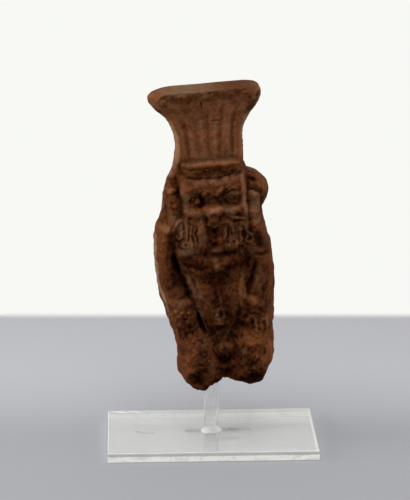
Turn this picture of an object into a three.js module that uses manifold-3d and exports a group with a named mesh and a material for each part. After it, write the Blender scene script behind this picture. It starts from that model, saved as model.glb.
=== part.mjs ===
// A small mould-made terracotta figure of Bes, broken off below the knees.
// A clear acrylic rod in its underside holds it above a clear acrylic plate.
// Millimetres, +Z up. The origin is the middle of the plate's underside, and the figure looks along -Y.

import * as THREE from 'three';
import { mergeVertices } from 'three/addons/utils/BufferGeometryUtils.js';
import Module from 'manifold-3d';

const wasm = await Module();
wasm.setup();

// Plate: length, depth, thickness and the small bevel on its sawn edges
const plateWidth = 69;
const plateDepth = 42;
const plateThickness = 3.3;
const plateBevel = 0.3;

// Rod: its diameter, how far it is let into the plate, and how far it runs up past the figure's foot level
const rodDiameter = 5;
const rodSeat = 1.6;
const rodGrip = 15;
const rodFit = 0.3;
const rodBevel = 0.4;
const rodSides = 24;

// Figure: height along its own axis, foot level above the plate, lean to the viewer's left in degrees,
// and the distance from the rod's axis to the middle of the foot level
const figureHeight = 100;
const figureRise = 17.1;
const figureLean = 4.5;
const rodOffset = 5.26;

// Mesh of the figure: columns round the front and the back, and columns spent on each rounded edge
const frontColumns = 40;
const backColumns = 12;
const frontEdgeColumns = 4;
const backEdgeColumns = 2;

// All of the figure's shape is in shares of its height: 100 shares are the whole figure.
const share = figureHeight / 100;

// Outline in shares: height, left edge, right edge, seen from the front
const outline = [
  { at: 0, left: -14.6, right: 13.2 },
  { at: 1.5, left: -15.6, right: 14.3 },
  { at: 3, left: -16.0, right: 15.1 },
  { at: 6, left: -16.0, right: 15.8 },
  { at: 12, left: -15.6, right: 16.3 },
  { at: 18, left: -16.1, right: 16.4 },
  { at: 22, left: -17.4, right: 16.9 },
  { at: 28, left: -18.7, right: 17.5 },
  { at: 34, left: -20.1, right: 18.3 },
  { at: 46, left: -20.5, right: 17.8 },
  { at: 51, left: -20.3, right: 16.8 },
  { at: 55, left: -19.4, right: 16.2 },
  { at: 58, left: -18.0, right: 15.9 },
  { at: 60.5, left: -16.9, right: 16.6 },
  { at: 64, left: -16.3, right: 18.3 },
  { at: 67, left: -15.7, right: 18.1 },
  { at: 70, left: -14.5, right: 15.7 },
  { at: 72, left: -13.5, right: 11.9 },
  { at: 76, left: -11.8, right: 11.0 },
  { at: 82, left: -10.6, right: 11.2 },
  { at: 86, left: -11.1, right: 11.9 },
  { at: 90, left: -12.8, right: 14.0 },
  { at: 94, left: -16.5, right: 17.4 },
  { at: 96.5, left: -18.2, right: 18.3 },
  { at: 98, left: -18.3, right: 18.0 },
  { at: 99.2, left: -17.2, right: 17.4 },
  { at: 100, left: -14.9, right: 16.4 },
];

// Depth in shares: front and back surface from the mould seam, and the width of the rounded edge
const depth = [
  { at: 0, front: 7.0, back: 6.4, edge: 6.5 },
  { at: 2, front: 8.8, back: 8.2, edge: 6.5 },
  { at: 6, front: 9.6, back: 8.8, edge: 6 },
  { at: 14, front: 9.4, back: 9.6, edge: 6 },
  { at: 22, front: 8.6, back: 10.2, edge: 6 },
  { at: 34, front: 7.6, back: 10.0, edge: 6 },
  { at: 46, front: 7.0, back: 9.4, edge: 6 },
  { at: 56, front: 6.4, back: 8.8, edge: 4.6 },
  { at: 62, front: 5.2, back: 8.2, edge: 3.4 },
  { at: 70, front: 5.0, back: 7.4, edge: 2.2 },
  { at: 75, front: 6.4, back: 6.0, edge: 2.3 },
  { at: 80, front: 6.9, back: 5.2, edge: 2.1 },
  { at: 88, front: 6.6, back: 4.7, edge: 2.3 },
  { at: 94, front: 7.0, back: 4.5, edge: 3.4 },
  { at: 97.4, front: 7.5, back: 4.6, edge: 3.4 },
  { at: 98.8, front: 7.8, back: 4.7, edge: 3.4 },
  { at: 99.6, front: 7.8, back: 4.6, edge: 3.4 },
  { at: 100, front: 7.4, back: 4.2, edge: 3.4 },
];

// Ragged lower edge of the break in shares: distance across, height
const breakEdge = [
  { at: -15, rise: 4.2 },
  { at: -13.4, rise: 2.4 },
  { at: -11.2, rise: 1.4 },
  { at: -9.6, rise: 0.2 },
  { at: -8.4, rise: -0.1 },
  { at: -7, rise: 0.8 },
  { at: -5.6, rise: 2.1 },
  { at: -4.4, rise: 2.9 },
  { at: -3, rise: 3.2 },
  { at: -1.4, rise: 4.7 },
  { at: 0.4, rise: 5.2 },
  { at: 2, rise: 4.7 },
  { at: 3.4, rise: 3.1 },
  { at: 5.6, rise: 2.0 },
  { at: 8.4, rise: 0.9 },
  { at: 10.6, rise: 1.3 },
  { at: 12.4, rise: 2.6 },
  { at: 13.8, rise: 4.6 },
];

// Torso in shares: middle, half width and the depth of its front surface
const torso = [
  { at: 20.6, middle: -0.4, half: 5.0, front: 7.6 },
  { at: 21.8, middle: -0.4, half: 5.4, front: 9.6 },
  { at: 23.6, middle: -0.4, half: 6.0, front: 12.2 },
  { at: 26.5, middle: -0.4, half: 6.8, front: 13.4 },
  { at: 31, middle: -0.4, half: 8.2, front: 13.6 },
  { at: 36, middle: -0.6, half: 9.6, front: 12.9 },
  { at: 41, middle: -0.7, half: 11.4, front: 11.6 },
  { at: 44, middle: -0.4, half: 12.4, front: 11.4 },
  { at: 49, middle: -0.4, half: 13, front: 10.4 },
];

// Profile of the face in shares: height, front surface
const faceProfile = [
  { at: 54, front: 10.6 },
  { at: 57, front: 11.6 },
  { at: 60, front: 11.5 },
  { at: 62, front: 11.2 },
  { at: 64.5, front: 10.4 },
  { at: 67, front: 10.7 },
  { at: 68.6, front: 10.7 },
  { at: 70, front: 10.1 },
  { at: 72, front: 9.1 },
  { at: 73.4, front: 7.8 },
];

// Numbers between 0 and 1, and soft shapes made from them
const clamp = (x, low, high) => Math.min(high, Math.max(low, x));
const rampUp = (low, high, x) => {
  const t = clamp((x - low) / (high - low), 0, 1);
  return t * t * (3 - 2 * t);
};
const dome = (r) => (Math.abs(r) < 1 ? (1 - r * r) ** 2 : 0);
const quarterFall = (t) => Math.sqrt(1 - clamp(t, 0, 1) ** 2);
const softMax = (a, b, blend) => {
  const h = Math.max(blend - Math.abs(a - b), 0) / blend;
  return Math.max(a, b) + h * h * blend / 4;
};

// Value of one column of a table at a height, by a cubic that never overshoots its stations
function along(table, key, at) {
  const last = table.length - 1;
  if (at <= table[0].at) return table[0][key];
  if (at >= table[last].at) return table[last][key];
  let i = 0;
  while (table[i + 1].at < at) i += 1;
  const chord = (k) => (table[k + 1][key] - table[k][key]) / (table[k + 1].at - table[k].at);
  const slope = (k) => {
    if (k === 0) return chord(0);
    if (k === last) return chord(last - 1);
    const before = chord(k - 1);
    const after = chord(k);
    return before * after <= 0 ? 0 : 2 * before * after / (before + after);
  };
  const span = table[i + 1].at - table[i].at;
  const t = (at - table[i].at) / span;
  const start = table[i][key];
  const end = table[i + 1][key];
  const s0 = slope(i) * span;
  const s1 = slope(i + 1) * span;
  return start + t * (s0 + t * (3 * (end - start) - 2 * s0 - s1 + t * (s0 + s1 - 2 * (end - start))));
}

// Distance from a point to a run of straight lines, and how far along the run the nearest point lies
function fromLine(u, w, line) {
  let total = 0;
  let best = { distance: Infinity, run: 0 };
  for (let i = 0; i + 1 < line.length; i += 1) {
    const [u0, w0] = line[i];
    const du = line[i + 1][0] - u0;
    const dw = line[i + 1][1] - w0;
    const length = Math.hypot(du, dw);
    const t = clamp(((u - u0) * du + (w - w0) * dw) / (length * length), 0, 1);
    const distance = Math.hypot(u - u0 - t * du, w - w0 - t * dw);
    if (distance < best.distance) best = { distance, run: total + t * length };
    total += length;
  }
  return { ...best, part: best.run / total };
}

// A rounded ridge, or a groove where the height is negative, that fades out at both ends
function stroke(u, w, line, width, height) {
  const near = fromLine(u, w, line);
  const fade = Math.min(1, 5 * near.part + 0.35, 5 * (1 - near.part) + 0.35);
  return height * fade * dome(near.distance / width);
}

// A soft mound or hollow of oval plan
function mound(u, w, [cu, cw], [ru, rw], height) {
  return height * dome(Math.hypot((u - cu) / ru, (w - cw) / rw));
}

// A ring, raised or sunk, of oval plan
function ring(u, w, [cu, cw], [ru, rw], width, height) {
  const r = Math.hypot((u - cu) / ru, (w - cw) / rw);
  return height * dome((r - 1) * Math.min(ru, rw) / width);
}

// The front surface of a solid swelling of oval plan: full in the middle, dropping at its border
function swelling(u, w, [cu, cw], [ru, rw], front, power = 2) {
  const r = (Math.abs((u - cu) / ru) ** power + Math.abs((w - cw) / rw) ** power) ** (1 / power);
  return r < 1 ? front * Math.sqrt(1 - r ** (1.5 * power)) : 0;
}

// The front surface of a limb that follows a line, with its radius at both ends
function limb(u, w, line, [startRadius, endRadius], axisDepth) {
  const near = fromLine(u, w, line);
  const radius = startRadius + (endRadius - startRadius) * near.part;
  return near.distance < radius ? axisDepth + Math.sqrt(radius ** 2 - near.distance ** 2) : 0;
}

// Crown: broad feathers with grooves between them, and a thick lip that swells out round the top
const featherGrooves = [
  { line: [[-6.5, 77.6], [-6.9, 84], [-7.6, 90.5]], deep: 0.6 },
  { line: [[-3.1, 77.6], [-3.5, 85], [-4.4, 92.5]], deep: 0.4 },
  { line: [[0.1, 77.6], [0, 86], [0.5, 93.5]], deep: 0.55 },
  { line: [[3.4, 77.6], [4.1, 85.5], [5.7, 95.5]], deep: 0.6 },
  { line: [[7.2, 77.6], [7.8, 86], [9.5, 93.4]], deep: 0.75 },
];
const lipEdge = [
  { at: -18.5, level: 94.4 },
  { at: -12.8, level: 96.3 },
  { at: -9.4, level: 97.6 },
  { at: 8, level: 98.5 },
  { at: 12.8, level: 97.4 },
  { at: 18.5, level: 95.2 },
];
const lipSwell = 0.5;
function crown(u, w) {
  let carved = 0;
  for (const { line, deep } of featherGrooves) carved += stroke(u, w, line, 1.3, -deep);
  const lip = along(lipEdge, 'level', u);
  if (w > 90) carved += lipSwell * rampUp(lip - 1.4, lip + 1, w);
  return carved;
}

// Roll at the foot of the crown, with rounded ends and an undercut over the forehead
const bandMiddle = 0.6;
const bandHalf = 7.4;
const bandEnd = 2.4;
const bandHeight = 2.7;
function band(u, w) {
  const across = quarterFall((Math.abs(u - bandMiddle) - bandHalf) / bandEnd);
  const low = 72.3 + 0.014 * (u - 1) ** 2;
  return bandHeight * across * rampUp(low - 0.4, low + 0.5, w) * (1 - rampUp(75.6, 78.2, w));
}

// Face: a flat slab, rounded on the left and sharp on the right, as deep as its profile
const faceRoot = 5;
function faceMass(u, w) {
  const first = faceProfile[0].at;
  const last = faceProfile[faceProfile.length - 1].at;
  const side = quarterFall((-6.6 - u) / 4.4) * quarterFall((u - 9.3) / 2.2);
  if (w <= first || w >= last || side === 0) return 0;
  return faceRoot + (along(faceProfile, 'front', w) - faceRoot) * side;
}

// Carving of the face: brows drawn down to the nose, round eyes in hollows, full cheeks with a dimple
const faceMiddle = 0.1;
const eyes = [
  { at: [-5.4, 64.4], side: -1, ball: 1, hollow: 0.7 },
  { at: [6.2, 65], side: 1, ball: 0.8, hollow: 0.4 },
];
function face(u, w) {
  let carved = mound(u, w, [faceMiddle, 66.9], [2.4, 2.6], 0.5);
  for (const { at: [cu, cw], side, ball, hollow } of eyes) {
    const inner = cu - side * 2.4;
    const brow = [[inner, cw + 1.8], [cu - side * 0.8, cw + 4.2], [cu + side * 2.4, cw + 3.4]];
    carved += stroke(u, w, brow, 1.1, 0.6);
    carved += mound(u, w, [cu, cw], [2.9, 2.6], -hollow);
    carved += mound(u, w, [cu, cw], [1.7, 1.6], ball);
    carved += mound(u, w, [cu - side * 1.8, cw - 0.4], [1.1, 1.6], -0.7);
    carved += mound(u, w, [cu + side * 0.6, cw - 3.7], [3.6, 2.5], 0.9);
    carved += mound(u, w, [cu + side * 1.8, cw - 4.8], [1.3, 1.1], -0.9);
  }
  carved += stroke(u, w, [[0.8, 65.6], [1.8, 67.3], [3.3, 69.4]], 0.9, 0.8);
  carved += stroke(u, w, [[9.6, 72.6], [10, 64], [10.2, 58.6]], 0.9, 0.4);
  return carved + nose(u, w);
}

// Nose: broad and short, highest where it meets the top lip
const noseHeight = 3.2;
function nose(u, w) {
  const half = 2.1 + 0.8 * rampUp(63.5, 60, w);
  const across = 1 - rampUp(half - 1.1, half + 0.8, Math.abs(u + faceMiddle));
  const up = rampUp(64.2, 61, w) * (0.45 + 0.55 * rampUp(57.4, 60.6, w)) * rampUp(56.8, 57.6, w);
  return noseHeight * across * up;
}

// Mouth: open, with the tongue hanging on the chin
function mouth(u, w) {
  return stroke(u, w, [[-0.4, 56], [-0.5, 53.6], [-0.7, 50.4]], 2.6, -1.1)
    + mound(u, w, [-0.5, 55.2], [2.8, 1.3], -0.6)
    + mound(u, w, [-0.5, 53.6], [1.2, 1.3], 0.6)
    + mound(u, w, [-0.7, 50.8], [1.5, 1.4], -0.9)
    + mound(u, w, [1.6, 52.2], [1, 1.8], 0.8)
    + mound(u, w, [-0.3, 48.2], [3, 1.3], 0.5)
    + stroke(u, w, [[-0.2, 65.5], [-0.1, 62]], 1.9, 0.6);
}

// Beard: a broad bib that hangs in front of the chest, lower on the left than on the right
const beardFront = 12.1;
function beardMass(u, w) {
  const across = Math.abs((u + 0.8) / (u < -0.8 ? 13.2 : 12.4));
  if (across >= 1) return 0;
  const hem = u < 0 ? rampUp(42.6, 50.6, w) : rampUp(45.4, 48.8, w);
  const up = 1 - rampUp(58, 63.5, w);
  return beardFront * Math.sqrt(1 - across ** 2.8) * Math.sqrt(hem * up);
}

// Locks fan out from the mouth: each is a groove that swings outwards, wider on the left
const lockCount = 6;
const lockFans = [{ side: -1, root: 4, reach: 6.2 }, { side: 1, root: 2.8, reach: 7.2 }];
function beard(u, w) {
  let carved = mouth(u, w);
  for (const { side, root, reach } of lockFans) {
    for (let k = 0; k < lockCount; k += 1) {
      const out = k / (lockCount - 1);
      const line = [
        [side * (root + reach * out), 57.6 + 0.6 * out],
        [side * (root + 0.3 + (reach + 1.4) * out), 54.8 + 0.6 * out],
        [side * (root + (reach + 2) * out), 51 + 2 * out],
      ];
      carved += stroke(u, w, line, 0.8, -0.5);
    }
  }
  return carved;
}

// Ears, the necks under them and the hollows between neck and shoulder
const headSides = [
  { at: [13.4, 67.4], size: [5, 5.4], front: 8.2, power: 2.2 },
  { at: [-12.8, 67], size: [3.9, 5.8], front: 7.4, power: 2.2 },
  { at: [-11.4, 51], size: [4.4, 9], front: 8.6, power: 2.4 },
  { at: [11.2, 51], size: [4, 8], front: 8.8, power: 2.4 },
];
const necks = [
  { line: [[12.2, 64], [12.4, 57]], radii: [2.6, 2.6], axisDepth: 5.2 },
  { line: [[-12.4, 64], [-12.2, 57]], radii: [2.4, 3], axisDepth: 4.6 },
];
function headSideMass(u, w) {
  let front = 0;
  for (const { at, size, front: depthHere, power } of headSides) {
    front = softMax(front, swelling(u, w, at, size, depthHere, power), 1.2);
  }
  for (const { line, radii, axisDepth } of necks) {
    front = softMax(front, limb(u, w, line, radii, axisDepth), 1.2);
  }
  return front;
}

// Carving of the ears: a round cup in a raised rim on the right, a turned-in lobe on the left
function ears(u, w) {
  return stroke(u, w, [[10.9, 66.9], [12.6, 68.4], [15, 68.1], [16.4, 66.2], [16, 64]], 1.2, 0.8)
    + stroke(u, w, [[11.2, 71.6], [13.2, 71.7], [15.4, 70.2], [16.8, 68.2]], 1, 0.4)
    + mound(u, w, [13.2, 66.1], [2, 1.7], -1.3)
    + mound(u, w, [13.2, 70.1], [1.6, 1.1], -1.2)
    + stroke(u, w, [[-10.6, 69.2], [-10.8, 66.4], [-11.1, 63.4]], 1.3, -1.2)
    + mound(u, w, [-12.9, 68.4], [2.3, 1.3], 0.7)
    + mound(u, w, [-12.7, 70.7], [1.5, 1.2], -0.4)
    + mound(u, w, [-13.2, 61.4], [2.4, 1.8], 0.5);
}

// Arms hang at the sides, bent inwards at the elbow, with big closed hands on the thighs
const leftArm = [[-16, 54.4], [-17.2, 50], [-17.3, 43], [-16.2, 37.5], [-14.4, 33], [-12.8, 28]];
const rightArm = [[12.8, 54.8], [15.3, 49], [15.2, 42], [13.9, 36], [12, 31.4], [11.4, 27.5]];
const leftArmpit = [[-13.9, 46.8], [-13.5, 43], [-12.2, 38.4], [-11, 35], [-9.8, 31.4]];
const rightArmpit = [[12.9, 43.6], [11.3, 39], [10, 35.6], [8.9, 31.4]];
const leftLoin = [[-8.2, 28.8], [-7.4, 25], [-6.4, 21]];
const leftKnuckles = [[-15.6, 27], [-13.8, 27.8], [-12, 27.4], [-10.4, 26.6], [-14.6, 24.8], [-12, 24.8]];
const rightKnuckles = [[12.4, 27.6], [14.2, 25.4]];
function armMass(u, w) {
  let front = limb(u, w, leftArm, [4.2, 4.2], 4.6);
  front = softMax(front, limb(u, w, rightArm, [3.6, 3.5], 4.9), 1.2);
  front = softMax(front, swelling(u, w, [-13, 24.6], [6, 7.6], 10.2, 2.2), 1.2);
  return softMax(front, swelling(u, w, [12.2, 24.4], [5.4, 7.4], 10.2, 2.2), 1.2);
}
function armCarving(u, w) {
  let carved = stroke(u, w, leftArmpit, 1.9, -2.8);
  carved += stroke(u, w, rightArmpit, 1.9, -1.4);
  carved += stroke(u, w, leftLoin, 1.6, -2.2);
  carved += mound(u, w, [13.4, 50.2], [2.4, 3.8], -1.5);
  carved += mound(u, w, [14, 45.9], [1.3, 1.2], 0.9);
  carved += mound(u, w, [-16, 55.4], [3.6, 2], 0.9);
  carved += mound(u, w, [12.6, 55.6], [2.8, 1.8], 0.7);
  carved += mound(u, w, [-13.2, 30.6], [4.2, 2], 0.6);
  carved += mound(u, w, [6.5, 22.3], [1.3, 1.8], -0.9);
  for (const at of [...leftKnuckles, ...rightKnuckles]) carved += mound(u, w, at, [1.1, 1], 0.7);
  for (const at of [-14.1, -12.3]) carved += stroke(u, w, [[at, 22.4], [at + 0.6, 18.4]], 0.9, -0.8);
  for (const at of [13.2, 11.3]) carved += stroke(u, w, [[at, 22.4], [at, 18.4]], 0.9, -0.7);
  carved += stroke(u, w, [[12.4, 23.4], [10.8, 22], [8.8, 20.9]], 0.9, -0.7);
  return carved;
}

// Torso: a big round belly under flat breast muscles, with a navel
function torsoMass(u, w) {
  const half = along(torso, 'half', w);
  const across = Math.abs((u - along(torso, 'middle', w)) / half);
  if (across >= 1 || w < torso[0].at || w > torso[torso.length - 1].at) return 0;
  return along(torso, 'front', w) * Math.sqrt(1 - across ** 2.5);
}
function torsoCarving(u, w) {
  return mound(u, w, [-6.4, 45.2], [4.8, 2.2], 0.5)
    + mound(u, w, [5.8, 44.8], [4.6, 2.2], 0.5)
    + stroke(u, w, [[-10.6, 43.4], [-6.6, 42.6], [-2.6, 43.2]], 1.4, -0.55)
    + stroke(u, w, [[1.8, 42.8], [5.8, 42.2], [9.4, 43.2]], 1.3, -0.55)
    + stroke(u, w, [[-9.8, 40], [-8.3, 35], [-7, 30.4], [-5.8, 25]], 1.6, 0.5)
    + stroke(u, w, [[8.6, 40], [6.7, 35], [6.5, 30.4], [5.8, 25]], 1.6, 0.5)
    + stroke(u, w, [[-4.6, 22.2], [-1.6, 21.2], [2.4, 21.8]], 1.4, -0.6)
    + ring(u, w, [-0.7, 27.2], [1.3, 2], 0.8, 0.4)
    + mound(u, w, [-0.7, 27.2], [0.9, 1.4], -0.6)
    + mound(u, w, [-0.8, 24.2], [1.6, 1.5], 0.8);
}

// Loins and legs: heavy thighs set wide apart, knees, and a deep recess between them
function legMass(u, w) {
  return Math.max(
    swelling(u, w, [-8.9, 11.4], [8.4, 11.8], 11.6, 2.6),
    swelling(u, w, [9.6, 11.4], [7.8, 11.6], 11.8, 2.6),
    swelling(u, w, [0.1, 15.4], [4.2, 3.9], 10.6),
  );
}
function legCarving(u, w) {
  return stroke(u, w, [[-3.9, 14.6], [-2.8, 12.2], [-0.8, 9.8], [1.2, 11], [3.2, 13.4]], 1.2, -1.2)
    + mound(u, w, [-0.4, 11], [2.8, 2.4], -1)
    + stroke(u, w, [[-0.4, 8.6], [0.2, 5.4]], 2.6, -1)
    + mound(u, w, [-1.6, 15], [2.5, 2.4], 1.2)
    + mound(u, w, [1.6, 15.2], [2.6, 2.4], 1.3)
    + ring(u, w, [8.3, 12], [2.2, 2.9], 1.2, 0.4)
    + mound(u, w, [9.2, 5.2], [3.6, 2.6], -0.8)
    + mound(u, w, [-9.4, 6.8], [4.4, 3.4], -1.1)
    + mound(u, w, [-11.2, 11], [1.8, 1.6], 0.5)
    + stroke(u, w, [[-14.2, 8.4], [-13.2, 4.2]], 1.3, 0.9)
    + stroke(u, w, [[-5.2, 13.6], [-5.2, 8.6], [-6, 4.4]], 1.8, 0.6);
}

// Depth of the front surface at a point of the front, before it is rounded off at the outline
function frontDepth(u, w) {
  let front = along(depth, 'front', w);
  front = softMax(front, headSideMass(u, w), 1.6);
  front = softMax(front, faceMass(u, w), 1.4);
  front = softMax(front, torsoMass(u, w), 1.4);
  front = softMax(front, armMass(u, w), 1.6);
  front = softMax(front, legMass(u, w), 2);
  front = softMax(front, beardMass(u, w), 2.4);
  return front + crown(u, w) + band(u, w) + face(u, w) + beard(u, w) + ears(u, w)
    + armCarving(u, w) + torsoCarving(u, w) + legCarving(u, w);
}

// How far the surface has come out from the seam at a distance in from the outline
function edgeRound(inset, edge, power) {
  const t = clamp(inset / edge, 0, 1);
  return (1 - (1 - t) ** power) ** (1 / power);
}

// Columns from the left edge to the right edge: close together on the rounded edges, even between them
function spread(left, right, edge, columns, edgeColumns) {
  const places = [];
  for (let i = 0; i <= columns; i += 1) {
    const fromEnd = Math.min(i, columns - i);
    const mirrored = i > columns - i;
    let inset = edge * (1 - Math.cos(Math.PI / 2 * fromEnd / edgeColumns));
    if (fromEnd > edgeColumns) {
      inset = edge + (fromEnd - edgeColumns) / (columns / 2 - edgeColumns) * ((right - left) / 2 - edge);
    }
    places.push(mirrored ? right - inset : left + inset);
  }
  return places;
}

// The edges are round on the body and the head, and flat slanted strips up the sides of the crown
const edgePower = (w) => 2 - 0.75 * rampUp(72, 78, w);

// How far a point is lifted by the ragged break: fully at the foot level, not at all above the knees
const breakFade = 15;
function lift(u, level) {
  return along(breakEdge, 'rise', u) * (1 - clamp(level / breakFade, 0, 1)) ** 1.5;
}

// One ring of the figure at a level: over the front from left to right, and back over the back
function figureRing(level) {
  const left = along(outline, 'left', level);
  const right = along(outline, 'right', level);
  const edge = along(depth, 'edge', level);
  const back = along(depth, 'back', level);
  const power = edgePower(level);
  const points = [];
  for (const u of spread(left, right, edge, frontColumns, frontEdgeColumns)) {
    const w = level + lift(u, level);
    const inset = Math.min(u - left, right - u);
    points.push([u, -frontDepth(u, w) * edgeRound(inset, edge, power), w]);
  }
  const backEdge = edge + 1.5;
  const rear = spread(left, right, backEdge, backColumns, backEdgeColumns).slice(1, -1).reverse();
  for (const u of rear) {
    const w = level + lift(u, level);
    points.push([u, back * edgeRound(Math.min(u - left, right - u), backEdge, 2), w]);
  }
  return points;
}

// Heights of the rings: close together where the carving is fine
function ringLevels() {
  const zones = [[0, 2, 1], [2, 22, 1.45], [22, 45, 1.45], [45, 73, 0.92], [73, 78.4, 0.77], [78.4, 97, 2.3],
    [97, 100, 0.6]];
  const levels = [0];
  for (const [low, high, step] of zones) {
    const count = Math.round((high - low) / step);
    for (let i = 1; i <= count; i += 1) levels.push(low + (high - low) * i / count);
  }
  return levels;
}

// Rings drawn in towards the middle close the top and the broken underside
function drawnIn(points, middle, keep, rise) {
  return points.map(([u, y, w]) => [
    middle[0] + (u - middle[0]) * keep,
    middle[1] + (y - middle[1]) * keep,
    w + (middle[2] - w) * (1 - keep) + rise,
  ]);
}

// The figure's closed surface, in its own leaned frame
function figureGeometry() {
  const rings = ringLevels().map(figureRing);
  const underside = rings[0];
  const top = rings[rings.length - 1];
  const underMiddle = [-1, 0, 3.2];
  const topMiddle = [0.75, -1, 99.7];
  const all = [
    drawnIn(underside, underMiddle, 0.35, 0),
    drawnIn(underside, underMiddle, 0.72, -0.2),
    ...rings,
    drawnIn(top, topMiddle, 0.8, 0),
    drawnIn(top, topMiddle, 0.45, 0),
  ];
  const columns = underside.length;
  const positions = all.flat().concat([underMiddle, topMiddle]).flat();
  const index = [];
  for (let r = 0; r + 1 < all.length; r += 1) {
    for (let c = 0; c < columns; c += 1) {
      const next = (c + 1) % columns;
      const a = r * columns + c;
      const b = r * columns + next;
      index.push(a, b, b + columns, a, b + columns, a + columns);
    }
  }
  const underPoint = all.length * columns;
  const lastRing = (all.length - 1) * columns;
  for (let c = 0; c < columns; c += 1) {
    const next = (c + 1) % columns;
    index.push(underPoint, next, c);
    index.push(underPoint + 1, lastRing + c, lastRing + next);
  }
  const geometry = new THREE.BufferGeometry();
  geometry.setAttribute('position', new THREE.Float32BufferAttribute(positions, 3));
  geometry.setIndex(index);
  geometry.scale(share, share, share);
  return geometry;
}

// A closed geometry as a solid that can be joined and cut
function solid(geometry) {
  const bare = geometry.clone();
  bare.deleteAttribute('normal');
  bare.deleteAttribute('uv');
  const merged = mergeVertices(bare, 1e-4);
  return new wasm.Manifold(new wasm.Mesh({
    numProp: 3,
    vertProperties: new Float32Array(merged.attributes.position.array),
    triVerts: new Uint32Array(merged.index.array),
  }));
}

// A solid as a three.js geometry
function surface(body) {
  const mesh = body.getMesh();
  const geometry = new THREE.BufferGeometry();
  geometry.setAttribute('position', new THREE.BufferAttribute(new Float32Array(mesh.vertProperties), 3));
  geometry.setIndex(new THREE.BufferAttribute(new Uint32Array(mesh.triVerts), 1));
  geometry.computeVertexNormals();
  return geometry;
}

// A round bar on the Z axis from one height to another, with bevelled ends
function bar(diameter, low, high, bevel) {
  const r = diameter / 2;
  const lowEnd = [[0, low], [r - bevel, low], [r, low + bevel]];
  const highEnd = [[r, high - bevel], [r - bevel, high], [0, high]];
  const profile = [...lowEnd, ...highEnd];
  const lathe = new THREE.LatheGeometry(profile.map(([x, y]) => new THREE.Vector2(x, y)), rodSides);
  lathe.rotateX(Math.PI / 2);
  return lathe;
}

// Where the figure's foot level and the rod's two ends are
const footLevel = plateThickness + figureRise;
const rodFoot = plateThickness - rodSeat;
const rodTop = footLevel + rodGrip;
const boreDiameter = rodDiameter + 2 * rodFit;

const clay = new THREE.MeshStandardMaterial({
  color: 0x6a4230, roughness: 0.85, metalness: 0, name: 'terracotta',
});
const acrylic = new THREE.MeshStandardMaterial({
  color: 0xe9ece8, roughness: 0.12, metalness: 0, transparent: true, opacity: 0.35, name: 'acrylic',
});

// The figure leans, and the upright bore for the rod is cut into its underside
function figure() {
  const placed = figureGeometry();
  placed.rotateY(-THREE.MathUtils.degToRad(figureLean));
  placed.translate(rodOffset, 0, footLevel);
  const bore = bar(boreDiameter, plateThickness, rodTop + rodFit, rodBevel);
  const mesh = new THREE.Mesh(surface(solid(placed).subtract(solid(bore))), clay);
  mesh.name = 'figure';
  return mesh;
}

// The rod stands in the plate and runs up into the figure
function rod() {
  const mesh = new THREE.Mesh(bar(rodDiameter, rodFoot, rodTop, rodBevel), acrylic);
  mesh.name = 'rod';
  return mesh;
}

// The plate, with a blind bore in its top for the rod's foot
function basePlate() {
  const width = plateWidth - 2 * plateBevel;
  const depthInside = plateDepth - 2 * plateBevel;
  const plan = new THREE.Shape();
  plan.moveTo(-width / 2, -depthInside / 2);
  plan.lineTo(width / 2, -depthInside / 2);
  plan.lineTo(width / 2, depthInside / 2);
  plan.lineTo(-width / 2, depthInside / 2);
  plan.closePath();
  const slab = new THREE.ExtrudeGeometry(plan, {
    depth: plateThickness - 2 * plateBevel,
    bevelEnabled: true,
    bevelThickness: plateBevel,
    bevelSize: plateBevel,
    bevelSegments: 1,
  });
  slab.translate(0, 0, plateBevel);
  const bore = bar(boreDiameter, rodFoot - rodFit, plateThickness + rodSeat, rodBevel);
  const mesh = new THREE.Mesh(surface(solid(slab).subtract(solid(bore))), acrylic.clone());
  mesh.name = 'base_plate';
  return mesh;
}

const besFigure = new THREE.Group();
besFigure.name = 'bes_figure';
besFigure.add(figure(), rod(), basePlate());

export default besFigure;
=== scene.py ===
import math
import bpy
import numpy as np
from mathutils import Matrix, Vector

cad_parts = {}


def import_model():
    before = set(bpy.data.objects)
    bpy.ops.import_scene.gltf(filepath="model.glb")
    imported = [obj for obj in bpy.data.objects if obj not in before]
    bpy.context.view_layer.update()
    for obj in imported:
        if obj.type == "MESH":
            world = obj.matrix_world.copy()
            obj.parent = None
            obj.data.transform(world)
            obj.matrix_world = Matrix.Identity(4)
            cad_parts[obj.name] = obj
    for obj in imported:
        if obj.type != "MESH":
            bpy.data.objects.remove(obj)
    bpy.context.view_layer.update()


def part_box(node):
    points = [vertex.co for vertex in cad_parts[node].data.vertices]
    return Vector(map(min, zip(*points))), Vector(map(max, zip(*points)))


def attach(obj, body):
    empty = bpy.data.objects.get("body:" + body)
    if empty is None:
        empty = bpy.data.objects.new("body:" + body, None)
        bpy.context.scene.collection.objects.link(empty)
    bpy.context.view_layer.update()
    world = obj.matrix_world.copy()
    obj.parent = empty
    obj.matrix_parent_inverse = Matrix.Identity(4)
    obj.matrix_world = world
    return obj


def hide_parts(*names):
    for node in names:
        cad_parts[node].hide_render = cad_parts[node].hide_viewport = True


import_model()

# A broken terracotta figure of Bes, held by a clear rod on a clear plate.
# Sizes are in millimetres and are turned into metres where a mesh is made.
MM = 0.001
PLATE_LOW, PLATE_HIGH = [tuple(v / MM for v in corner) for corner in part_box("base_plate")]
ROD_LOW, ROD_HIGH = [tuple(v / MM for v in corner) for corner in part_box("rod")]
PLATE_TOP = PLATE_HIGH[2]
ROD_RADIUS = (ROD_HIGH[0] - ROD_LOW[0]) / 2
ROD_GAP = 0.3                       # between the rod and its bores
BORE_RADIUS = ROD_RADIUS + ROD_GAP
BORE_FOOT, BORE_TOP = ROD_LOW[2] - ROD_GAP, ROD_HIGH[2] + ROD_GAP
LEAN = math.radians(4.5)            # the figure leans to its own left
FIGURE_HEIGHT = 100
FIGURE_RISE = 17.1                  # from the plate to the level that the figure's heights are counted from
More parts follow.
